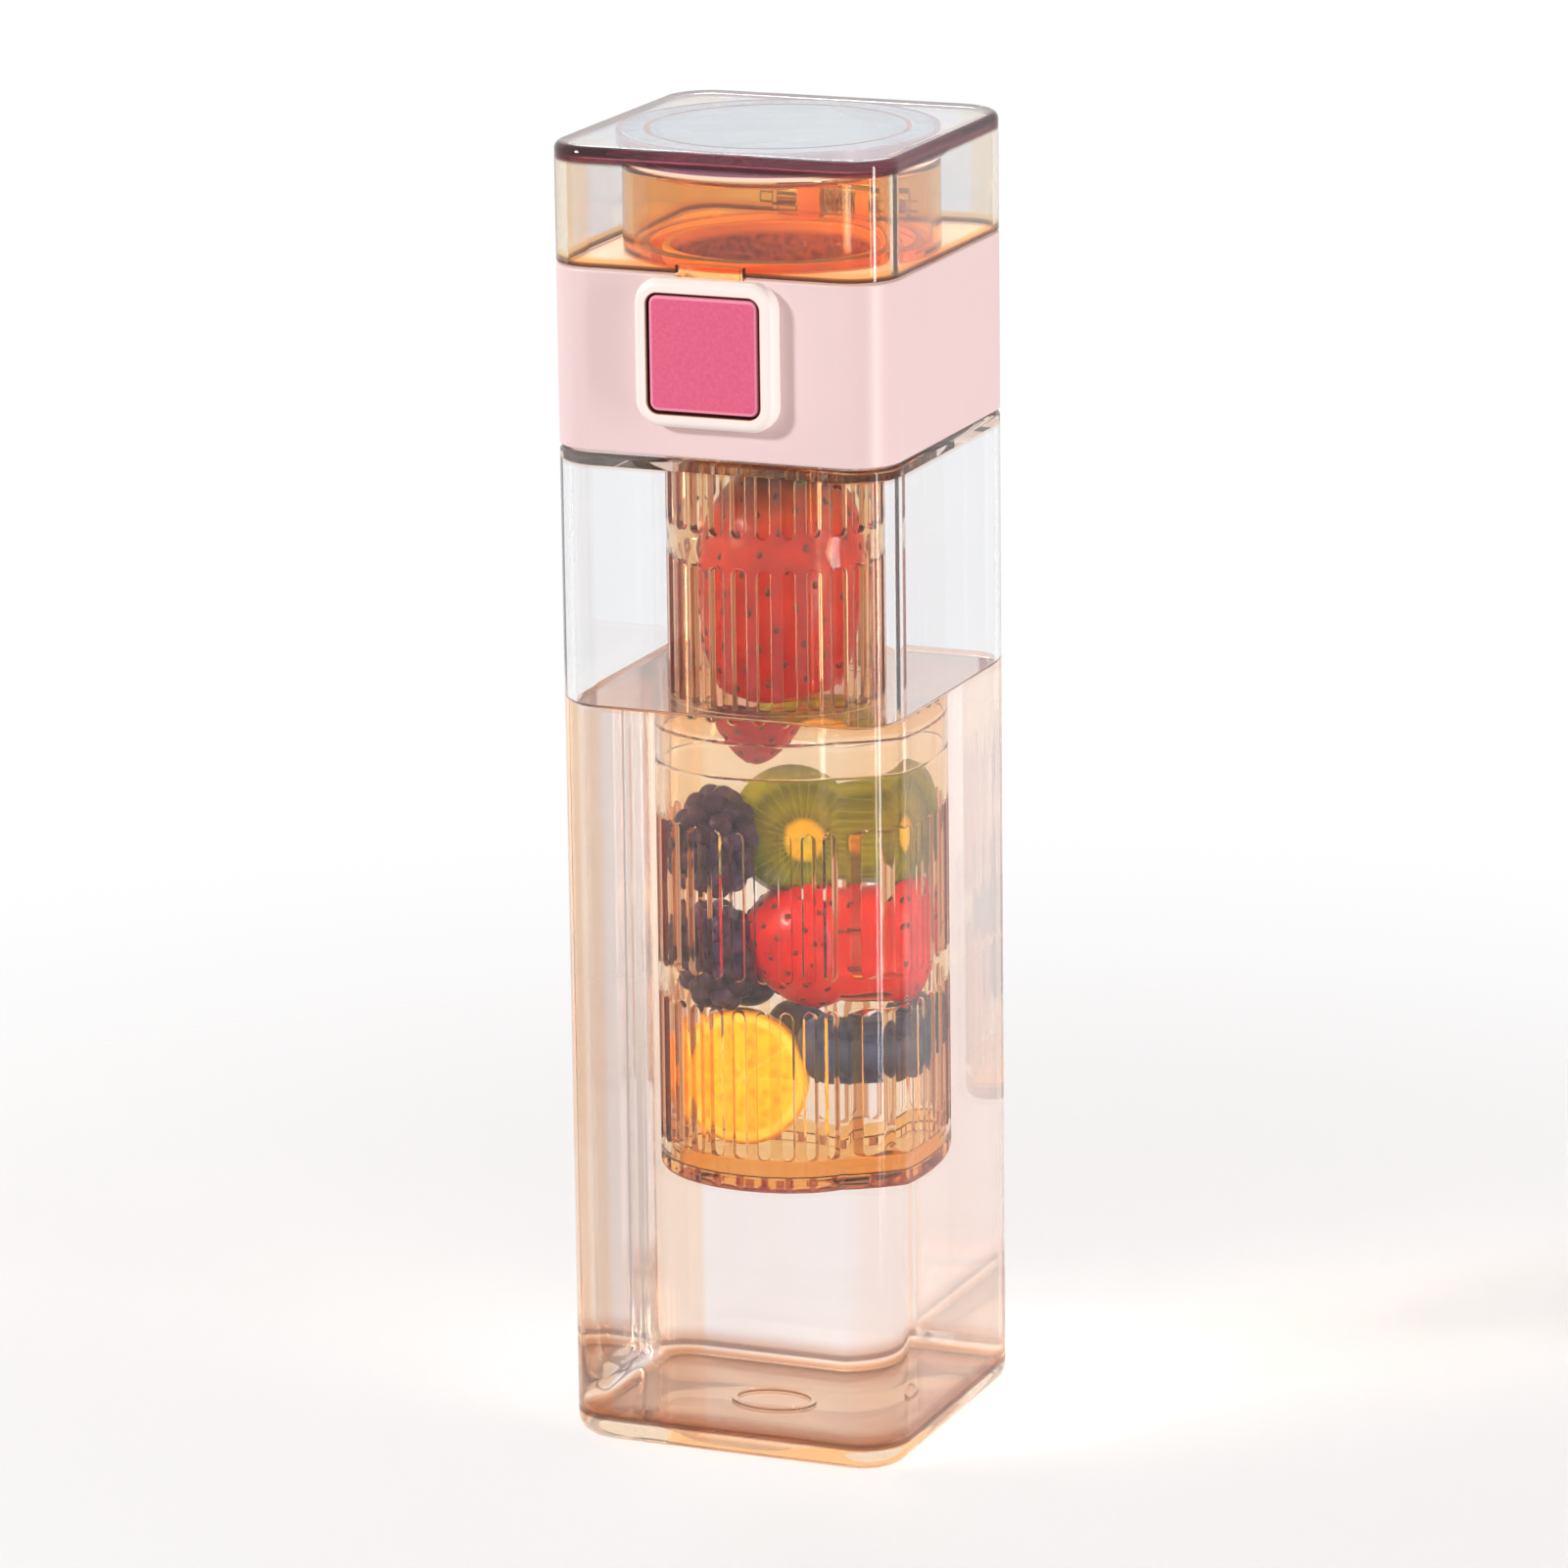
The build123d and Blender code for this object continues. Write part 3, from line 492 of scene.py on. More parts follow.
steelValues = {
    "colour": (0.50, 0.49, 0.47), "bright": (0.72, 0.71, 0.69), "streakScale": 1500, "roughness": 0.24, "grain": 0.08,
}

clearTank = clearMaterial("clearTank", clearTankValues)
clearLid = clearMaterial("clearLid", clearLidValues)
amber = clearMaterial("amber", amberValues)
mouthAmber = clearMaterial("mouthAmber", mouthAmberValues)
strainerAmber = clearMaterial("strainerAmber", strainerValues)
wetAmber = clearMaterial("wetAmber", wetAmberValues)
capAmber = clearMaterial("capAmber", capAmberValues)
milkySeal = clearMaterial("milkySeal", sealValues)
drink = clearMaterial("drink", drinkValues)
pink = mouldedMaterial("pinkShell", pinkValues)
cream = mouldedMaterial("creamPlastic", creamValues)
frameCream = mouldedMaterial("creamFrame", frameValues)
peach = mouldedMaterial("peachDeck", peachValues)
magenta = mouldedMaterial("magentaPad", magentaValues)
silicone = mouldedMaterial("silicone", siliconeValues)
steel = steelMaterial("springSteel", steelValues)
print("materials made")


# Tank, blown in one piece with its neck
tankValues = {
    "half": 0.031, "innerHalf": 0.029, "top": 0.177, "ceiling": 0.1746, "floor": 0.0036,
    "footRound": 0.0035, "floorRound": 0.003, "shoulderRound": 0.0008,
    "recessRadius": 0.026, "recessDepth": 0.0014,
    "neckRadius": 0.0235, "neckBore": 0.0214, "neckTop": 0.196, "lipRound": 0.0005,
    "markOuter": 0.0078, "markInner": 0.0068, "markRise": 0.0005,
    "ridges": 4, "ridgeStart": 0.18498, "ridgeLead": 0.016, "ridgeArc": 75, "ridgeSteps": 24,
    "ridgeDepth": 0.0012, "ridgeSink": 0.0004, "ridgeRoot": 0.00105, "ridgeCrest": 0.00045,
}


def makeTank(v):
    bm = bmesh.new()
    half, r, shoulder = v["half"], v["footRound"], v["shoulderRound"]
    rows = [(v["recessRadius"], v["recessDepth"]), (v["recessRadius"], 0.0)]
    flats = arcRows(half - r, r, r, -90, 0, 8)
    flats += arcRows(half - shoulder, v["top"] - shoulder, shoulder, 0, 90, 4)
    square = set(range(len(rows), len(rows) + len(flats)))
    rows += flats + [(v["neckRadius"], v["top"])]
    rows += lipRows(v["neckRadius"], v["neckBore"], v["neckTop"], v["lipRound"], 3)
    rows += [(v["neckBore"], v["ceiling"])]
    inside = [(v["innerHalf"], v["ceiling"])]
    inside += arcRows(v["innerHalf"] - v["floorRound"], v["floor"] + v["floorRound"], v["floorRound"], 0, -90, 8)
    square |= set(range(len(rows), len(rows) + len(inside)))
    mark = v["floor"] + v["markRise"]
    rows += inside + [(v["markOuter"], v["floor"]), (v["markOuter"], mark)]
    rows += [(v["markInner"], mark), (v["markInner"], v["floor"])]
    stackOutlines(bm, rows, square)
    # thread ridges on the neck, each swept up part of a turn
    near, wall, far = v["neckRadius"] - v["ridgeSink"], v["neckRadius"], v["neckRadius"] + v["ridgeDepth"]
    base, root, crest = v["ridgeStart"], v["ridgeRoot"], v["ridgeCrest"]
    section = [(near, base - root), (wall, base - root), (far, base - crest),
               (far, base + crest), (wall, base + root), (near, base + root)]
    climb = v["ridgeLead"] * v["ridgeArc"] / 360 / v["ridgeSteps"]
    for ridge in range(v["ridges"]):
        face = bm.faces.new([bm.verts.new((x, 0, z)) for x, z in section])
        start = Matrix.Rotation(ridge * 2 * math.pi / v["ridges"], 3, "Z")
        bmesh.ops.rotate(bm, verts=face.verts, cent=(0, 0, 0), matrix=start)
        bmesh.ops.spin(bm, geom=[face] + list(face.edges) + list(face.verts), axis=(0, 0, 1), cent=(0, 0, 0),
                       angle=math.radians(v["ridgeArc"]), steps=v["ridgeSteps"], dvec=(0, 0, climb))
    finishPiece("tank", bm, "bottle", clearTank, ["bottle_body"])


makeTank(tankValues)
print("tank made")


# Lid: a clear box with two ribs under its top, and knuckles and room for the hinge at its back
lidValues = {
    "half": 0.031, "innerHalf": 0.029, "low": 0.2089, "top": 0.2295, "plateFloor": 0.2274, "topRound": 0.0015,
    "innerRound": 0.0006, "rimRound": 0.0002, "ribLow": 0.2252, "ribs": [(0.022, 0.0228), (0.0269, 0.0277)],
    "tabLow": (-0.0061, -0.035, 0.2), "tabHigh": (0.0061, -0.0285, 0.2104),
    "hingeY": 0.0312, "hingeZ": 0.2112, "knuckle": 0.003, "relief": 0.0033, "knuckleFrom": 0.0083,
    "knuckleTo": 0.0129, "bore": 0.00105, "boreHalf": 0.016,
    "legLow": (-0.00365, 0.0285, 0.2112), "legHigh": (-0.00235, 0.0301, 0.2175),
}


def makeLid(v):
    bm = bmesh.new()
    (a, b), (c, d) = v["ribs"]
    low, floor, rim = v["ribLow"], v["plateFloor"], v["rimRound"]
    rows = [(a, floor), (a, low), (b, low), (b, floor), (c, floor), (c, low), (d, low), (d, floor)]
    flats = arcRows(v["innerHalf"] - v["innerRound"], floor - v["innerRound"], v["innerRound"], 90, 0, 4)
    flats += arcRows(v["innerHalf"] + rim, v["low"] + rim, rim, 180, 270, 2)
    flats += arcRows(v["half"] - rim, v["low"] + rim, rim, -90, 0, 2)
    flats += arcRows(v["half"] - v["topRound"], v["top"] - v["topRound"], v["topRound"], 0, 90, 8)
    stackOutlines(bm, rows + flats, set(range(len(rows), len(rows) + len(flats))))
    lid = rawPiece("lidBox", bm, clearLid)
    line = (v["hingeY"], v["hingeZ"])
    start, end = v["knuckleFrom"], v["knuckleTo"]
    knuckles = barrelShape(v["knuckle"], (start, end), *line, barrelShape(v["knuckle"], (-end, -start), *line))
    shapeWith(lid, [
        ("DIFFERENCE", boxShape(v["tabLow"], v["tabHigh"])),
        ("DIFFERENCE", barrelShape(v["relief"], (-start, start), *line)),
        ("UNION", knuckles),
        ("DIFFERENCE", barrelShape(v["bore"], (-v["boreHalf"], v["boreHalf"]), *line)),
        ("DIFFERENCE", boxShape(v["legLow"], v["legHigh"])),
    ])
    settlePiece(lid, "lid", ["lid_shell"])


makeLid(lidValues)

# Soft seal under the lid's top: a ring between the two ribs, with a thin skin across the middle
sealSizes = {
    "inner": 0.023, "outer": 0.0266, "low": 0.2242, "top": 0.2274, "skinOuter": 0.0219, "skinLow": 0.2268,
    "edge": 0.0003, "steps": 128,
}


def makeSeal(v):
    bm = bmesh.new()
    e = v["edge"]
    rows = arcRows(v["outer"] - e, v["low"] + e, e, -90, 0, 3) + [(v["outer"], v["top"])]
    rows += [(v["inner"], v["top"])] + arcRows(v["inner"] + e, v["low"] + e, e, 180, 270, 3)
    stackOutlines(bm, rows, closed=True, count=v["steps"])
    stackOutlines(bm, [(v["skinOuter"], v["skinLow"]), (v["skinOuter"], v["top"])], count=v["steps"])
    finishPiece("lidSeal", bm, "lid", milkySeal, ["lid_gasket"])


makeSeal(sealSizes)
print("lid made")


# Push button: a rounded frame on the head and a pad that slides in it
buttonSizes = {
    "front": -0.031, "height": 0.1957, "frameCorner": 0.0082, "window": 0.0102, "outer": 0.0127, "depth": 0.0032,
    "outerRound": 0.0015, "windowRound": 0.0004, "padCorner": 0.0084, "pad": 0.0099, "padBack": 0.0013,
    "padDepth": 0.0029, "padRound": 0.0004,
}


def makeButton(v):
    stand = Matrix.Translation((0, v["front"], v["height"])) @ Matrix.Rotation(math.pi / 2, 4, "X")
    bm = bmesh.new()
    r, e = v["outerRound"], v["windowRound"]
    rows = [(v["window"], 0), (v["outer"], 0)]
    rows += arcRows(v["outer"] - r, v["depth"] - r, r, 0, 90, 8)
    rows += arcRows(v["window"] + e, v["depth"] - e, e, 90, 180, 4)
    stackOutlines(bm, rows, set(range(len(rows))), closed=True, corner=v["frameCorner"])
    bmesh.ops.transform(bm, matrix=stand, verts=bm.verts)
    finishPiece("buttonFrame", bm, "head", frameCream, ["button_bezel"])
    bm = bmesh.new()
    e = v["padRound"]
    rows = [(v["pad"], v["padBack"])] + arcRows(v["pad"] - e, v["padDepth"] - e, e, 0, 90, 5)
    stackOutlines(bm, rows, set(range(len(rows))), corner=v["padCorner"])
    bmesh.ops.transform(bm, matrix=stand, verts=bm.verts)
    finishPiece("buttonPad", bm, "button", magenta, ["button_pad"])


makeButton(buttonSizes)
print("button made")


# Mouth ring with the plug that holds it
mouthValues = {
    "plugBore": 0.022, "plug": 0.0236, "low": 0.20042, "deck": 0.2086, "ledge": 0.2102,
    "bore": 0.0247, "outer": 0.0265, "top": 0.2238, "lip": 0.0008, "steps": 128,
}


def makeMouthRing(v):
    bm = bmesh.new()
    rows = [(v["plugBore"], v["low"]), (v["plug"], v["low"]), (v["plug"], v["deck"]), (v["outer"], v["deck"])]
    rows += lipRows(v["outer"], v["bore"], v["top"], v["lip"], 5)
    rows += [(v["bore"], v["ledge"]), (v["plugBore"], v["ledge"])]
    stackOutlines(bm, rows, closed=True, count=v["steps"])
    finishPiece("mouthRing", bm, "head", mouthAmber, ["mouth_ring"])


makeMouthRing(mouthValues)


# Strainer: a cup whose floor is drilled in rings
strainerSizes = {
    "outer": 0.0199, "bore": 0.0183, "low": 0.1994, "top": 0.2096, "floor": 0.2004, "floorTop": 0.202,
    "skirt": 0.0183, "skirtBore": 0.0167, "skirtLow": 0.1954, "lip": 0.0005, "inset": 0.0006,
    "hole": 0.0014, "holeSteps": 16, "drill": 0.006, "pitch": 0.00459, "rings": 3, "steps": 96,
}


def makeStrainer(v):
    bm = bmesh.new()
    rows = [(v["skirtBore"] - v["inset"], v["floor"]), (v["skirtBore"], v["floor"]), (v["skirtBore"], v["skirtLow"])]
    rows += [(v["skirt"], v["skirtLow"]), (v["skirt"], v["low"]), (v["outer"], v["low"])]
    rows += lipRows(v["outer"], v["bore"], v["top"], v["lip"], 4)
    rows += [(v["bore"], v["floorTop"]), (v["bore"] - v["inset"], v["floorTop"])]
    stackOutlines(bm, rows, count=v["steps"])
    strainer = rawPiece("strainerCup", bm, strainerAmber)
    holes = bmesh.new()
    for circle in range(v["rings"] + 1):
        reach, count = circle * v["pitch"], max(6 * circle, 1)
        for number in range(count):
            angle = 2 * math.pi * number / count
            place = Matrix.Translation((reach * math.cos(angle), reach * math.sin(angle), v["floorTop"]))
            bmesh.ops.create_cone(holes, cap_ends=True, segments=v["holeSteps"], radius1=v["hole"],
                                  radius2=v["hole"], depth=v["drill"], matrix=place)
    shapeWith(strainer, [("DIFFERENCE", holes)])
    settlePiece(strainer, "strainer_lift", ["strainer"])


makeStrainer(strainerSizes)
print("mouth made")


# Slotted infuser tube in two halves
basketValues = {
    "outer": 0.02, "wall": 0.0016, "slots": 28, "slotWidth": 0.0024, "slotLength": 0.0265, "rowGap": 0.0054,
    "rows": 2, "joint": 0.12, "jointGap": 0.00005, "spigotTop": 0.1261, "edge": 0.00022,
    "upperRow": 0.1296, "upperTop": 0.1972, "lowerRow": 0.052, "lowerLow": 0.049, "lowerTop": 0.1259,
}


def slottedTube(v, lowRow, low, high, extraHeights):
    # one slot with its share of wall is laid flat, repeated along and up, then bent round
    bm = bmesh.new()
    pitch = 2 * math.pi * v["outer"] / v["slots"]
    cell = v["slotLength"] + v["rowGap"]
    grid = bmesh.ops.create_grid(bm, x_segments=1, y_segments=1, size=0.5,
                                 matrix=Matrix.Diagonal((v["slotWidth"], v["slotLength"], 1, 1)))
    bmesh.ops.bevel(bm, geom=grid["verts"], offset=v["slotWidth"] * 0.4999, offset_type="OFFSET",
                    affect="VERTICES", segments=5, profile=0.5, material=-1)
    bmesh.ops.delete(bm, geom=bm.faces[:], context="FACES_ONLY")
    weldVerts(bm, shapeValues["looseWeld"])
    for vert in extrudeLoop(bm, bm.edges[:])[0]:
        vert.co.x *= pitch / v["slotWidth"]
        vert.co.y = math.copysign(cell / 2, vert.co.y)
    bmesh.ops.translate(bm, verts=bm.verts, vec=(0, lowRow + v["slotLength"] / 2, 0))
    first = bm.verts[:] + bm.edges[:] + bm.faces[:]
    for row in range(1, v["rows"]):
        copied = bmesh.ops.duplicate(bm, geom=first)["geom"]
        bmesh.ops.translate(bm, verts=vertsOf(copied), vec=(0, row * cell, 0))
    weldVerts(bm)
    bottom, top = lowRow - v["rowGap"] / 2, lowRow + v["rows"] * cell - v["rowGap"] / 2
    below = sorted([h for h in extraHeights if h < bottom] + [low], reverse=True)
    above = sorted([h for h in extraHeights if h > top] + [high])
    for edgeHeight, targets in ((bottom, below), (top, above)):
        edges = [e for e in bm.edges if all(abs(p.co.y - edgeHeight) < shapeValues["weld"] for p in e.verts)]
        for target in targets:
            ring, edges = extrudeLoop(bm, edges)
            for vert in ring:
                vert.co.y = target
    panel = bm.verts[:] + bm.edges[:] + bm.faces[:]
    for number in range(1, v["slots"]):
        copied = bmesh.ops.duplicate(bm, geom=panel)["geom"]
        bmesh.ops.translate(bm, verts=vertsOf(copied), vec=(number * pitch, 0, 0))
    for vert in bm.verts:
        angle = vert.co.x / v["outer"]
        vert.co = (v["outer"] * math.sin(angle), -v["outer"] * math.cos(angle), vert.co.y)
    weldVerts(bm, shapeValues["looseWeld"])
    bmesh.ops.recalc_face_normals(bm, faces=bm.faces)
    if sum(f.normal.xy.dot(f.calc_center_median().xy) for f in bm.faces) < 0:
        bmesh.ops.reverse_faces(bm, faces=bm.faces)
    bmesh.ops.solidify(bm, geom=bm.faces[:], thickness=v["wall"])
    # the wall's two skins are put at their exact radii
    radii = sorted(Vector(p.co.xy).length for p in bm.verts)
    split = (radii[0] + radii[-1]) / 2
    for vert in bm.verts:
        reach = vert.co.xy.length
        target = v["outer"] if reach > split else v["outer"] - v["wall"]
        vert.co.x *= target / reach
        vert.co.y *= target / reach
    return bm


def makeBaskets(v):
    outside, gap = v["outer"] - 0.0001, v["jointGap"]
    # upper half: its lowest stretch is thinned from the inside into a socket
    bm = slottedTube(v, v["upperRow"], v["joint"], v["upperTop"], (v["spigotTop"] + gap, v["spigotTop"]))
    for vert in bm.verts:
        if vert.co.z < v["spigotTop"] + gap / 2 and vert.co.xy.length < outside:
            vert.co.xy = vert.co.xy.normalized() * (v["outer"] - v["wall"] / 2 + gap)
    finishPiece("basketUpper", bm, "basket", amber, ["basket_upper"], bevel=v["edge"])
    # lower half: its highest stretch is thinned from the outside into a spigot
    bm = slottedTube(v, v["lowerRow"], v["lowerLow"], v["lowerTop"], (v["joint"] - gap, v["joint"]))
    for vert in bm.verts:
        if vert.co.z > v["joint"] - gap / 2 and vert.co.xy.length > outside:
            vert.co.xy = vert.co.xy.normalized() * (v["outer"] - v["wall"] / 2 - gap)
    finishPiece("basketLower", bm, "basket_foot", wetAmber, ["basket_lower"], bevel=v["edge"])


makeBaskets(basketValues)


# Twist-off foot with its grip notches
capValues = {
    "outer": 0.02, "low": 0.046, "top": 0.049, "round": 0.0018, "plate": 0.048, "spigot": 0.0183,
    "spigotBore": 0.0167, "spigotTop": 0.0516, "notch": 0.0006, "notches": 28, "steps": 280,
}


def makeCap(v):
    bm = bmesh.new()
    rows = arcRows(v["outer"] - v["round"], v["low"] + v["round"], v["round"], -90, 0, 6)
    rows += [(v["outer"], v["top"]), (v["spigot"], v["top"]), (v["spigot"], v["spigotTop"])]
    rows += [(v["spigotBore"], v["spigotTop"]), (v["spigotBore"], v["plate"])]
    stackOutlines(bm, rows, count=v["steps"])
    for vert in bm.verts:
        turn = math.atan2(vert.co.x, -vert.co.y) / (2 * math.pi) * v["notches"]
        across = (turn - round(turn)) * 2 * math.pi * v["outer"] / v["notches"]
        if abs(across) < v["notch"]:
            limit = v["outer"] - math.sqrt(v["notch"] ** 2 - across ** 2)
            if vert.co.xy.length > limit:
                vert.co.xy = vert.co.xy.normalized() * limit
    finishPiece("basketCap", bm, "cap", capAmber, ["infuser_cap"])


makeCap(capValues)
print("infuser made")


# Springs: one coils round the hinge pin, its leg in the lid turns with the lid; two push the button out
springValues = {
    "wire": 0.00035, "coil": 0.00175, "turns": 5, "pitch": 0.0012, "leg": 0.006, "start": (-0.003, 0.0312, 0.2112),
    "pressWire": 0.0002, "pressCoil": 0.0015, "pressTurns": 4, "pressPitch": 0.00095, "pressX": 0.006,
    "pressFrom": -0.03005, "pressEnd": -0.02605, "pressHeight": 0.1957, "pressKeep": 0.72,
    "wireSteps": 10, "turnSteps": 24,
}


def coilWire(bm, v, centre, axis, across, wire, radius, turns, pitch, leg=0):
    # a round wire spun about an axis while it moves along it, with a straight leg at its end
    tangent = axis.cross(across)
    stand = Matrix.Translation(centre + across * radius) @ Matrix((axis, across, tangent)).transposed().to_4x4()
    ring = bmesh.ops.create_circle(bm, segments=v["wireSteps"], radius=wire, matrix=stand)["verts"]
    loop = list({e for p in ring for e in p.link_edges})
    last = bmesh.ops.spin(bm, geom=ring + loop, axis=axis, cent=centre, angle=2 * math.pi * turns,
                          steps=v["turnSteps"] * turns, dvec=axis * (pitch / v["turnSteps"]))["geom_last"]
    end = [g for g in last if isinstance(g, bmesh.types.BMEdge)]
    if leg:
        moved, end = extrudeLoop(bm, end)
        bmesh.ops.translate(bm, verts=list(moved), vec=tangent * leg)
    bmesh.ops.contextual_create(bm, geom=loop)
    bmesh.ops.contextual_create(bm, geom=end)


def makeSprings(v):
    alongX, alongY = Vector((1, 0, 0)), Vector((0, 1, 0))
    start, w, leg = Vector(v["start"]), v["wire"], v["leg"]
    bm = bmesh.new()
    coilWire(bm, v, start, alongX, -alongY, w, v["coil"], v["turns"], v["pitch"], leg)
    finishPiece("hingeSpring", bm, "head", steel, ["hinge_spring"])
    bm = bmesh.new()
    rows = [(w * 0.7, 0.00005), (w, 0.0002), (w, leg - w), (w * 0.7, leg - w * 0.3), (w * 0.2, leg)]
    stackOutlines(bm, rows, count=12)
    bmesh.ops.translate(bm, verts=bm.verts, vec=start - alongY * v["coil"])
    finishPiece("hingeSpringLeg", bm, "lid", steel)
    bm = bmesh.new()
    for side in (-1, 1):
        centre = Vector((side * v["pressX"], v["pressFrom"], v["pressHeight"]))
        coilWire(bm, v, centre, alongY, alongX, v["pressWire"], v["pressCoil"], v["pressTurns"], v["pressPitch"])
    springs = finishPiece("buttonSprings", bm, "head", steel, ["press_springs"])
    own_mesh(springs)


makeSprings(springValues)
print("springs made")


# Drink in the tank, drawn up a little at the wall
drinkShape = {
    "innerHalf": 0.0292, "floor": 0.0034, "round": 0.003, "level": 0.132, "rise": 0.0007, "lean": 0.0012,
    "film": 0.0002, "climb": (0.15, 0.35, 0.6, 1.0), "curl": 2.5,
}


def makeDrink(v):
    bm = bmesh.new()
    half, film = v["innerHalf"], v["film"]
    rows = arcRows(half - v["round"], v["floor"] + v["round"], v["round"], -90, 0, 8)
    rows += [(half, v["level"] + v["rise"]), (half - film, v["level"] + v["rise"])]
    rows += [(half - film - v["lean"] * s, v["level"] + v["rise"] * (1 - s) ** v["curl"]) for s in v["climb"]]
    stackOutlines(bm, rows, set(range(len(rows))))
    finishPiece("drinkFill", bm, "bottle", drink)


makeDrink(drinkShape)
print("drink made")


# Fruit in the infuser, each piece clear of its wall
def patternPlace(tree, place, centre, turn):
    # puts a pattern's origin and axes on a piece that lies turned inside the infuser
    inputs = {"Vector": place, "Location": centre, "Rotation": turn}
    return addNode(tree, "Mapping", inputs, vector_type="TEXTURE").outputs["Vector"]


def juicy(tree, shader, colour, roughness, soft):
    # its gloss is faint, because most of it lies in the drink
    setInputs(tree, shader, {
        "Base Color": colour, "Roughness": roughness, "Specular IOR Level": 0.12,
        "Subsurface Weight": soft, "Subsurface Radius": (1.0, 0.35, 0.2), "Subsurface Scale": 0.002,
        "Coat Weight": 0.06, "Coat Roughness": 0.12})


def placeOf(v):
    x, y, z = (Matrix.Rotation(angle, 4, axis) for angle, axis in zip(v["turn"], "XYZ"))
    return Matrix.Translation(v["centre"]) @ z @ y @ x


def finishFruit(name, bm, v, material, recalc=True):
    bmesh.ops.transform(bm, matrix=placeOf(v), verts=bm.verts)
    finishPiece(name, bm, v["body"], material, recalc=recalc)


def berrySkin(name, v):
    # strawberry red that pales towards the shoulder, with a fine mottle
    material, tree, shader, place = startMaterial(name)
    own = patternPlace(tree, place, v["centre"], v["turn"])
    along = shareBetween(tree, measure(tree, own, "height"), -v["length"] / 2, v["length"] / 2)
    shade = colourRamp(tree, cloud(tree, own, 260, 4), [(0.35, (0.72, 0.6, 0.55)), (0.65, (1, 1, 1))])
    red = mixColour(tree, 1.0, colourRamp(tree, along, v["colours"]), shade, "MULTIPLY")
    juicy(tree, shader, red, 0.28, 0.12)
    addBump(tree, shader, cloud(tree, own, 900), 0.15, 0.0001)
    return material


def simpleSkin(name, dark, light, scale, roughness, grain):
    material, tree, shader, place = startMaterial(name)
    colour = colourRamp(tree, cloud(tree, place, scale, 3), [(0.3, dark), (0.7, light)])
    juicy(tree, shader, colour, roughness, 0.05)
    addBump(tree, shader, cloud(tree, place, scale * 3), grain, 0.0002)
    return material


def wheelFlesh(name, v):
    # a cut wheel of fruit: colours by distance from its middle, broken up by its segments and pips
    material, tree, shader, place = startMaterial(name)
    own = patternPlace(tree, place, v.get("heart", v["centre"]), v["turn"])
    wobble = mathNode(tree, "MULTIPLY", mathNode(tree, "SUBTRACT", cloud(tree, own, 220), 0.5), 0.07)
    share = mathNode(tree, "ADD", mathNode(tree, "DIVIDE", measure(tree, own, "axis"), v["radius"]), wobble)
    parts = addNode(tree, "SeparateXYZ", {0: own}).outputs
    angle = mathNode(tree, "MULTIPLY", mathNode(tree, "ARCTAN2", parts["Y"], parts["X"]), v["segments"] / 2)
    wave = mathNode(tree, "ABSOLUTE", mathNode(tree, "SINE", angle))
    edge = shareBetween(tree, mathNode(tree, "MULTIPLY", wave, share), v["membrane"], 0.0)
    inside = shareBetween(tree, share, v["flesh"], v["flesh"] - 0.06)
    flesh = colourRamp(tree, share, v["colours"])
    flesh = mixColour(tree, mathNode(tree, "MULTIPLY", edge, inside), flesh, v["membraneColour"])
    cells = addNode(tree, "TexVoronoi", {"Scale": v["cellScale"], "Vector": own}).outputs["Distance"]
    tone = colourRamp(tree, cells, [(0.0, v["cellDark"]), (0.6, (1, 1, 1))])
    flesh = mixColour(tree, inside, flesh, mixColour(tree, 1.0, flesh, tone, "MULTIPLY"))
    juicy(tree, shader, flesh, 0.3, 0.2)
    addBump(tree, shader, cells, 0.4, 0.0003)
    return material


def spiralPoint(number, total):
    # evenly spread points on a unit sphere
    height = 1 - 2 * (number + 0.5) / total
    angle = number * math.pi * (3 - math.sqrt(5))
    reach = math.sqrt(1 - height * height)
    return Vector((reach * math.cos(angle), reach * math.sin(angle), height))


def strawberryPoint(v, direction):
    # where a direction from the middle meets the berry: a blunt tip at the bottom, broad shoulders on top
    height = direction.z
    reach = math.sqrt(max(0.0, 1 - height * height))
    broad = v["radius"] * (1 - v["taper"] * (0.5 - 0.5 * height) ** 1.3)
    dip = v["dip"] * max(0.0, height) ** 6
    return Vector((direction.x * broad, direction.y * broad * v["flat"],
                   v["length"] * ((height - dip) / 2 + v["shoulder"] * reach)))


def makeStrawberry(name, v):
    seedDirections = [spiralPoint(n, v["seeds"]) for n in range(v["seeds"])]
    seedDirections = [d for d in seedDirections if d.z < v["seedTop"]]
    seedPlaces = [strawberryPoint(v, d) for d in seedDirections]
    bm = bmesh.new()
    bmesh.ops.create_uvsphere(bm, u_segments=96, v_segments=72, radius=1)
    for vert in bm.verts:
        point = strawberryPoint(v, vert.co.normalized())
        near = min((point - s).length for s in seedPlaces)
        if near < v["dimple"]:
            share = 1 - near / v["dimple"]
            point *= 1 - v["dimpleDepth"] * (3 * share ** 2 - 2 * share ** 3)
        vert.co = point
    finishFruit(name, bm, v, berrySkin(name + "Skin", v))
    bm = bmesh.new()
    for direction, point in zip(seedDirections, seedPlaces):
        outward = Vector((direction.x, direction.y, direction.z * 2 * v["radius"] / v["length"])).normalized()
        stand = outward.to_track_quat("Z", "Y").to_matrix().to_4x4()
        place = Matrix.Translation(point * v["seedSink"]) @ stand @ Matrix.Diagonal((*v["seedSize"], 1))
        bmesh.ops.create_uvsphere(bm, u_segments=8, v_segments=5, radius=1, matrix=place)
    finishFruit(name + "Seeds", bm, v, seedBrown)
    if v["leaves"]:
        makeLeaves(name + "Leaves", v)


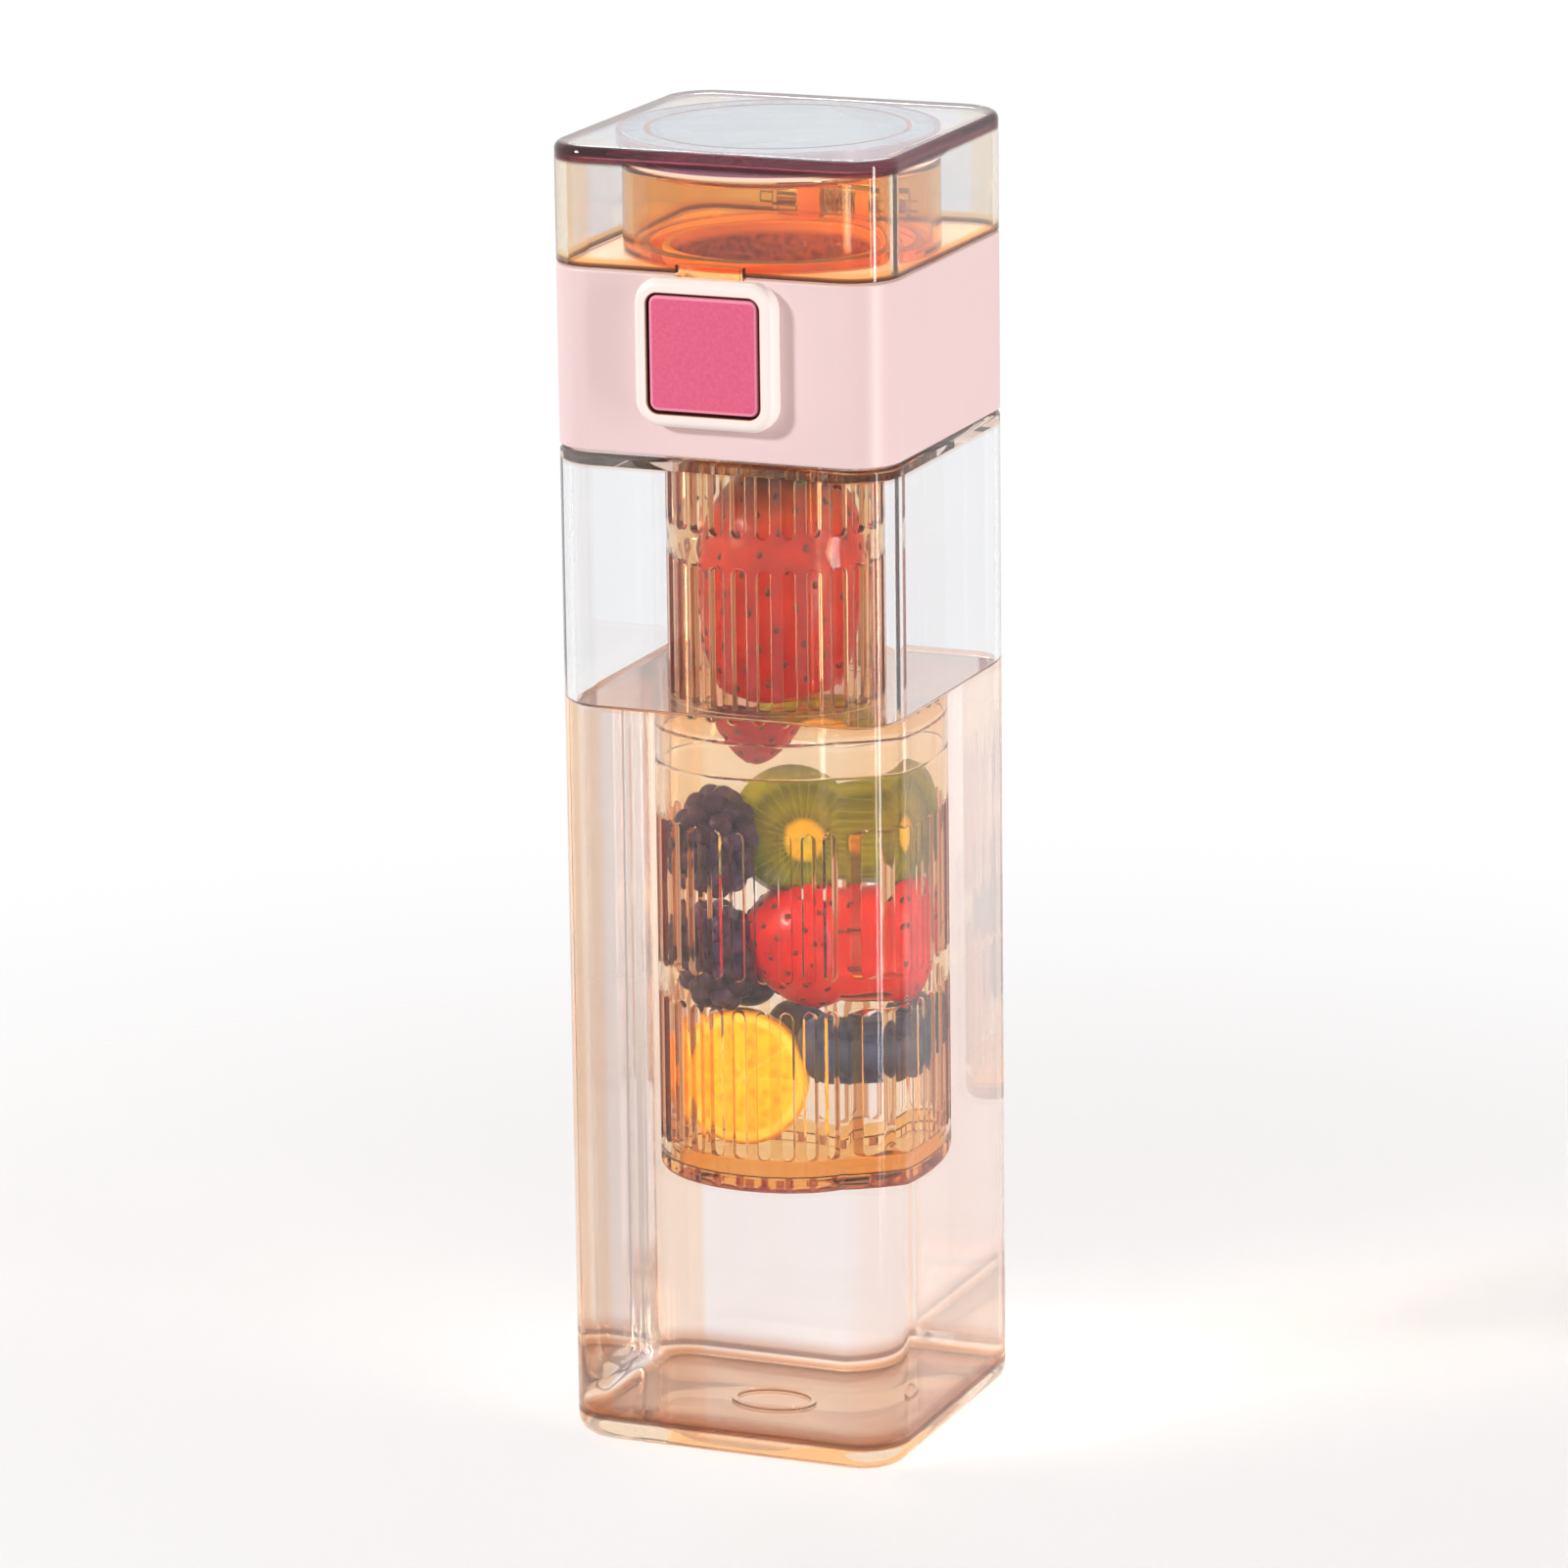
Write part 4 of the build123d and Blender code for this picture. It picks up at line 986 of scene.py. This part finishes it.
def makeLeaves(name, v):
    bm = bmesh.new()
    for number in range(v["leaves"]):
        leaf = bmesh.ops.create_grid(bm, x_segments=8, y_segments=4, size=1)["verts"]
        length = v["leafLength"] * (0.85 + 0.3 * random.random())
        lift = random.uniform(-0.2, 0.5)
        turn = Matrix.Rotation(2 * math.pi * number / v["leaves"] + random.uniform(-0.15, 0.15), 4, "Z")
        for vert in leaf:
            along, across = (vert.co.x + 1) / 2, vert.co.y
            width = v["leafWidth"] * math.sin(math.pi * min(1, along * 0.93 + 0.07)) ** 0.8
            droop = v["leafDroop"] * across * across * width * (1 - along)
            rise = v["leafArch"] * math.sin(along * 2.6) + lift * along ** 2 * 0.5 - droop
            base = v["length"] * v["leafBase"]
            vert.co = turn @ Vector(((0.08 + along) * length, across * width * length, rise * length + base))
    bmesh.ops.recalc_face_normals(bm, faces=bm.faces)
    bmesh.ops.solidify(bm, geom=bm.faces[:], thickness=v["leafThickness"])
    foot = v["length"] * v["stemBase"]
    stackOutlines(bm, [(radius, foot + height) for radius, height in v["stemRows"]], count=12)
    finishFruit(name, bm, v, leafGreen)


def makeBlackberry(name, v):
    # swollen drupelets round a core
    bm = bmesh.new()
    radius, seat, half = v["radius"] * v["core"], v["radius"] * v["seat"], v["length"] * v["coreHalf"]
    core = Matrix.Diagonal((radius, radius, half, 1))
    bmesh.ops.create_uvsphere(bm, u_segments=24, v_segments=16, radius=1, matrix=core)
    for number in range(v["drupelets"]):
        direction = spiralPoint(number, v["drupelets"])
        place = Matrix.Translation((direction.x * seat, direction.y * seat, direction.z * half))
        size = v["drupelet"] * random.uniform(*v["drupeletRange"])
        stretch = Matrix.Diagonal((size, size, size * v["drupeletSquat"], 1))
        bmesh.ops.create_icosphere(bm, subdivisions=3, radius=1, matrix=place @ stretch)
    finishFruit(name, bm, v, blackberrySkin, recalc=False)


def makeBlueberry(name, v):
    bm = bmesh.new()
    radius = v["radius"]
    bmesh.ops.create_uvsphere(bm, u_segments=48, v_segments=32, radius=radius)
    for vert in bm.verts:
        reach = vert.co.xy.length / radius
        if vert.co.z > v["crownFrom"] * radius:
            petals = 0.5 + 0.5 * math.cos(5 * math.atan2(vert.co.y, vert.co.x))
            lip = math.exp(-((reach - v["lipReach"]) / v["lipWidth"]) ** 2) * (0.4 + 0.6 * petals)
            vert.co.z += radius * (v["lipRise"] * lip - v["hollow"] * math.exp(-(reach / v["hollowReach"]) ** 4))
        vert.co.z *= v["squat"]
    finishFruit(name, bm, v, blueberrySkin)


def makeWheel(name, v):
    bm = bmesh.new()
    radius, half, edge = v["radius"], v["thickness"] / 2, v["edge"]
    dome = [(radius * reach, half + v["crown"] * share) for reach, share in ((0.3, 1), (0.75, 0.6))]
    rows = [(reach, -height) for reach, height in dome]
    rows += arcRows(radius - edge, -half + edge, edge, -90, 0, 5)
    rows += arcRows(radius - edge, half - edge, edge, 0, 90, 5) + dome[::-1]
    stackOutlines(bm, rows, count=96)
    finishFruit(name, bm, v, wheelFlesh(name + "Flesh", v))


random.seed(7)
seedBrown = simpleSkin("seedBrown", (0.04, 0.006, 0.002), (0.15, 0.035, 0.006), 900, 0.4, 0.1)
leafGreen = simpleSkin("leafGreen", (0.03, 0.10, 0.02), (0.10, 0.22, 0.04), 300, 0.5, 0.3)
blackberrySkin = simpleSkin("blackberrySkin", (0.012, 0.008, 0.02), (0.06, 0.03, 0.07), 420, 0.2, 0.05)
blueberrySkin = simpleSkin("blueberrySkin", (0.012, 0.016, 0.045), (0.06, 0.08, 0.16), 180, 0.45, 0.08)

strawberryValues = {
    "centre": (-0.0003, -0.0005, 0.1457), "turn": (0.0, 0.07, 0.3), "radius": 0.0166, "flat": 1, "length": 0.053,
    "taper": 0.34, "dip": 0.10, "shoulder": 0.02, "body": "basket",
    "seeds": 170, "seedTop": 0.86, "seedSink": 0.988, "seedSize": (0.00055, 0.00080, 0.00034),
    "dimple": 0.0015, "dimpleDepth": 0.022, "leaves": 10, "leafLength": 0.0125, "leafWidth": 0.26,
    "leafDroop": 0.72, "leafArch": 0.10, "leafBase": 0.46, "leafThickness": 0.00035,
    "stemBase": 0.44, "stemRows": [(0.0014, 0), (0.0011, 0.002), (0.0009, 0.006)],
    "colours": [(0.0, (0.33, 0.004, 0.001)), (0.35, (0.36, 0.008, 0.001)), (0.8, (0.38, 0.022, 0.002)),
                (1.0, (0.48, 0.13, 0.02))],
}
redPieceValues = dict(
    strawberryValues, centre=(0.0056, 0.0004, 0.0880), turn=(0.2, 1.5, 0.15), radius=0.0132, flat=0.84,
    length=0.0225, body="basket_foot", seeds=90, dimple=0.0010, leaves=0,
    colours=[(0.0, (0.42, 0.006, 0.002)), (0.5, (0.48, 0.009, 0.003)), (1.0, (0.55, 0.02, 0.01))])
blackberryValues = {
    "body": "basket_foot", "radius": 0.0074, "drupelets": 46, "drupelet": 0.0024, "drupeletRange": (0.88, 1.1),
    "drupeletSquat": 0.92, "core": 0.8, "seat": 0.78, "coreHalf": 0.42,
}
blackberryPlaces = [
    {"centre": (-0.0080, -0.0050, 0.1058), "turn": (0.1, 0.05, 0), "length": 0.0195},
    {"centre": (-0.0085, -0.0036, 0.0850), "turn": (-0.08, 0.05, 1.0), "length": 0.019},
]
blueberryValues = {
    "body": "basket_foot", "squat": 0.88, "crownFrom": 0.6, "lipReach": 0.36, "lipWidth": 0.09, "lipRise": 0.13,
    "hollow": 0.22, "hollowReach": 0.26,
}
blueberryPlaces = [
    {"centre": (0.0112, 0.0005, 0.0690), "turn": (0.6, 0.5, 0), "radius": 0.0064},
    {"centre": (0.0024, 0.0106, 0.0690), "turn": (0.1, 0.9, 0.4), "radius": 0.0064},
    {"centre": (-0.0070, 0.0088, 0.0790), "turn": (0.2, 0.2, 0.4), "radius": 0.0060},
]
kiwiValues = {
    "centre": (0.0042, 0.0028, 0.1074), "heart": (0.0058, 0.0026, 0.1052), "turn": (1.25, 0.2, 0.30),
    "radius": 0.0114, "thickness": 0.0085, "edge": 0.002, "crown": 0.0006, "body": "basket_foot",
    "segments": 34, "membrane": 0.16, "flesh": 1.3, "membraneColour": (0.24, 0.24, 0.01),
    "colours": [(0.0, (0.72, 0.34, 0.01)), (0.26, (0.62, 0.32, 0.01)), (0.36, (0.07, 0.06, 0.002)),
                (0.55, (0.16, 0.14, 0.003)), (0.85, (0.08, 0.085, 0.003)), (1.0, (0.20, 0.20, 0.004))],
    "cellScale": 900, "cellDark": (0.6, 0.7, 0.5),
}
orangeValues = {
    "centre": (-0.0040, -0.0040, 0.0636), "turn": (1.45, 0.0, 0.25),
    "radius": 0.0120, "thickness": 0.0075, "edge": 0.0012, "crown": 0.0004, "body": "basket_foot",
    "segments": 10, "membrane": 0.10, "flesh": 0.84, "membraneColour": (0.80, 0.47, 0.04),
    "colours": [(0.0, (0.78, 0.46, 0.04)), (0.10, (0.78, 0.40, 0.002)), (0.80, (0.80, 0.39, 0.002)),
                (0.85, (0.82, 0.50, 0.06)), (0.93, (0.80, 0.46, 0.03)), (0.96, (0.70, 0.28, 0.002))],
    "cellScale": 520, "cellDark": (0.85, 0.6, 0.3),
}
makeStrawberry("strawberry", strawberryValues)
makeStrawberry("strawberryLow", redPieceValues)
for number, values in enumerate(blackberryPlaces):
    makeBlackberry("blackberry%d" % (number + 1), dict(blackberryValues, **values))
for number, values in enumerate(blueberryPlaces):
    makeBlueberry("blueberry%d" % (number + 1), dict(blueberryValues, **values))
makeWheel("kiwiSlice", kiwiValues)
makeWheel("orangeSlice", orangeValues)
print("fruit made")


# CAD nodes that keep their shape get smooth shading by welding their triangles
def dress(node, material):
    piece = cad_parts[node]
    piece.data.materials.clear()
    piece.data.materials.append(material)
    weld = piece.modifiers.new("weld", "WELD")
    weld.merge_threshold = shapeValues["looseWeld"]
    split = piece.modifiers.new("split", "EDGE_SPLIT")
    split.split_angle = math.radians(shapeValues["sharpAngle"])


for node, material in (
    ("head_shell", pink), ("head_core", cream), ("head_deck", peach),
    ("button_key", mouldedMaterial("darkKey", darkValues)), ("latch_hook", cream),
    ("lid_catch", amber), ("neck_gasket", silicone), ("mouth_seal", silicone),
    ("infuser_ring", amber), ("hinge_pin", steel),
):
    dress(node, material)
print("carried-over nodes dressed")


# Studio: pale floor that fades out at its edge, white surroundings, three soft lamps
studioValues = {
    "floorSize": 0.5, "floorColour": (0.93, 0.93, 0.93), "speckle": 0.995, "speckleScale": 60,
    "floorLift": 0.55, "fade": (0.1, 0.42), "floorRoughness": 0.9, "floorGloss": 0.1,
    "white": (1, 1, 1), "ambient": (0.99, 0.80, 0.78), "ambientStrength": 0.37, "aim": (0, 0, 0.11),
    "lamps": [
        {"name": "key", "place": (-1.02, -0.95, 0.80), "size": (0.18, 0.18), "power": 18.3,
         "colour": (0.95, 0.985, 0.98)},
        {"name": "strip", "place": (1.25, -0.36, 0.0), "size": (0.12, 1.5), "power": 14.0,
         "colour": (1.0, 0.99, 0.98)},
        {"name": "fill", "place": (-0.60, 1.10, 1.05), "size": (0.35, 0.35), "power": 3.2,
         "colour": (1.0, 0.98, 0.97)},
    ],
}


def seenRays(tree):
    # 1 for what the camera sees straight, in a reflection or through something clear
    rays = addNode(tree, "LightPath", {}).outputs
    seen = mathNode(tree, "MAXIMUM", rays["Is Camera Ray"], rays["Is Glossy Ray"])
    return mathNode(tree, "MAXIMUM", seen, rays["Is Transmission Ray"])


def makeFloor(v):
    material, tree, shader, place = startMaterial("floorWhite")
    shade = tuple(c * v["speckle"] for c in v["floorColour"])
    setInputs(tree, shader, {
        "Base Color": mixColour(tree, cloud(tree, place, v["speckleScale"]), v["floorColour"], shade),
        "Roughness": v["floorRoughness"], "Specular IOR Level": v["floorGloss"]})
    fade = shareBetween(tree, vectorNode(tree, "LENGTH", place), *v["fade"], interpolation_type="SMOOTHSTEP")
    pale = addNode(tree, "Emission", {"Color": v["white"]})
    lifted = mixShader(tree, mathNode(tree, "MULTIPLY", seenRays(tree), v["floorLift"]), shader, pale)
    blend = mixShader(tree, fade, lifted, addNode(tree, "BsdfTransparent", {}))
    setInputs(tree, tree.nodes["Material Output"], {"Surface": blend.outputs["Shader"]})
    bm = bmesh.new()
    bmesh.ops.create_grid(bm, x_segments=1, y_segments=1, size=v["floorSize"])
    meshObject("floor", bm, material)


def makeStudio(v):
    makeFloor(v)
    world = bpy.data.worlds.new("studio")
    scene.world = world
    world.use_nodes = True
    tree = world.node_tree
    ambient = tree.nodes["Background"]
    setInputs(tree, ambient, {"Color": v["ambient"], "Strength": v["ambientStrength"]})
    mix = mixShader(tree, seenRays(tree), ambient, addNode(tree, "Background", {"Color": v["white"]}))
    setInputs(tree, tree.nodes["World Output"], {"Surface": mix.outputs["Shader"]})
    for lamp in v["lamps"]:
        data = bpy.data.lights.new(lamp["name"], "AREA")
        data.shape = "RECTANGLE"
        data.size, data.size_y = lamp["size"]
        data.energy = lamp["power"]
        data.color = lamp["colour"]
        light = bpy.data.objects.new(lamp["name"], data)
        place = Vector(lamp["place"])
        aim = (Vector(v["aim"]) - place).to_track_quat("-Z", "Y")
        light.matrix_world = Matrix.Translation(place) @ aim.to_matrix().to_4x4()
        scene.collection.objects.link(light)
    print("studio lit")


makeStudio(studioValues)
scene.view_settings.view_transform = "Standard"
scene.cycles.max_bounces = 24
scene.cycles.transmission_bounces = 24
scene.cycles.transparent_max_bounces = 16
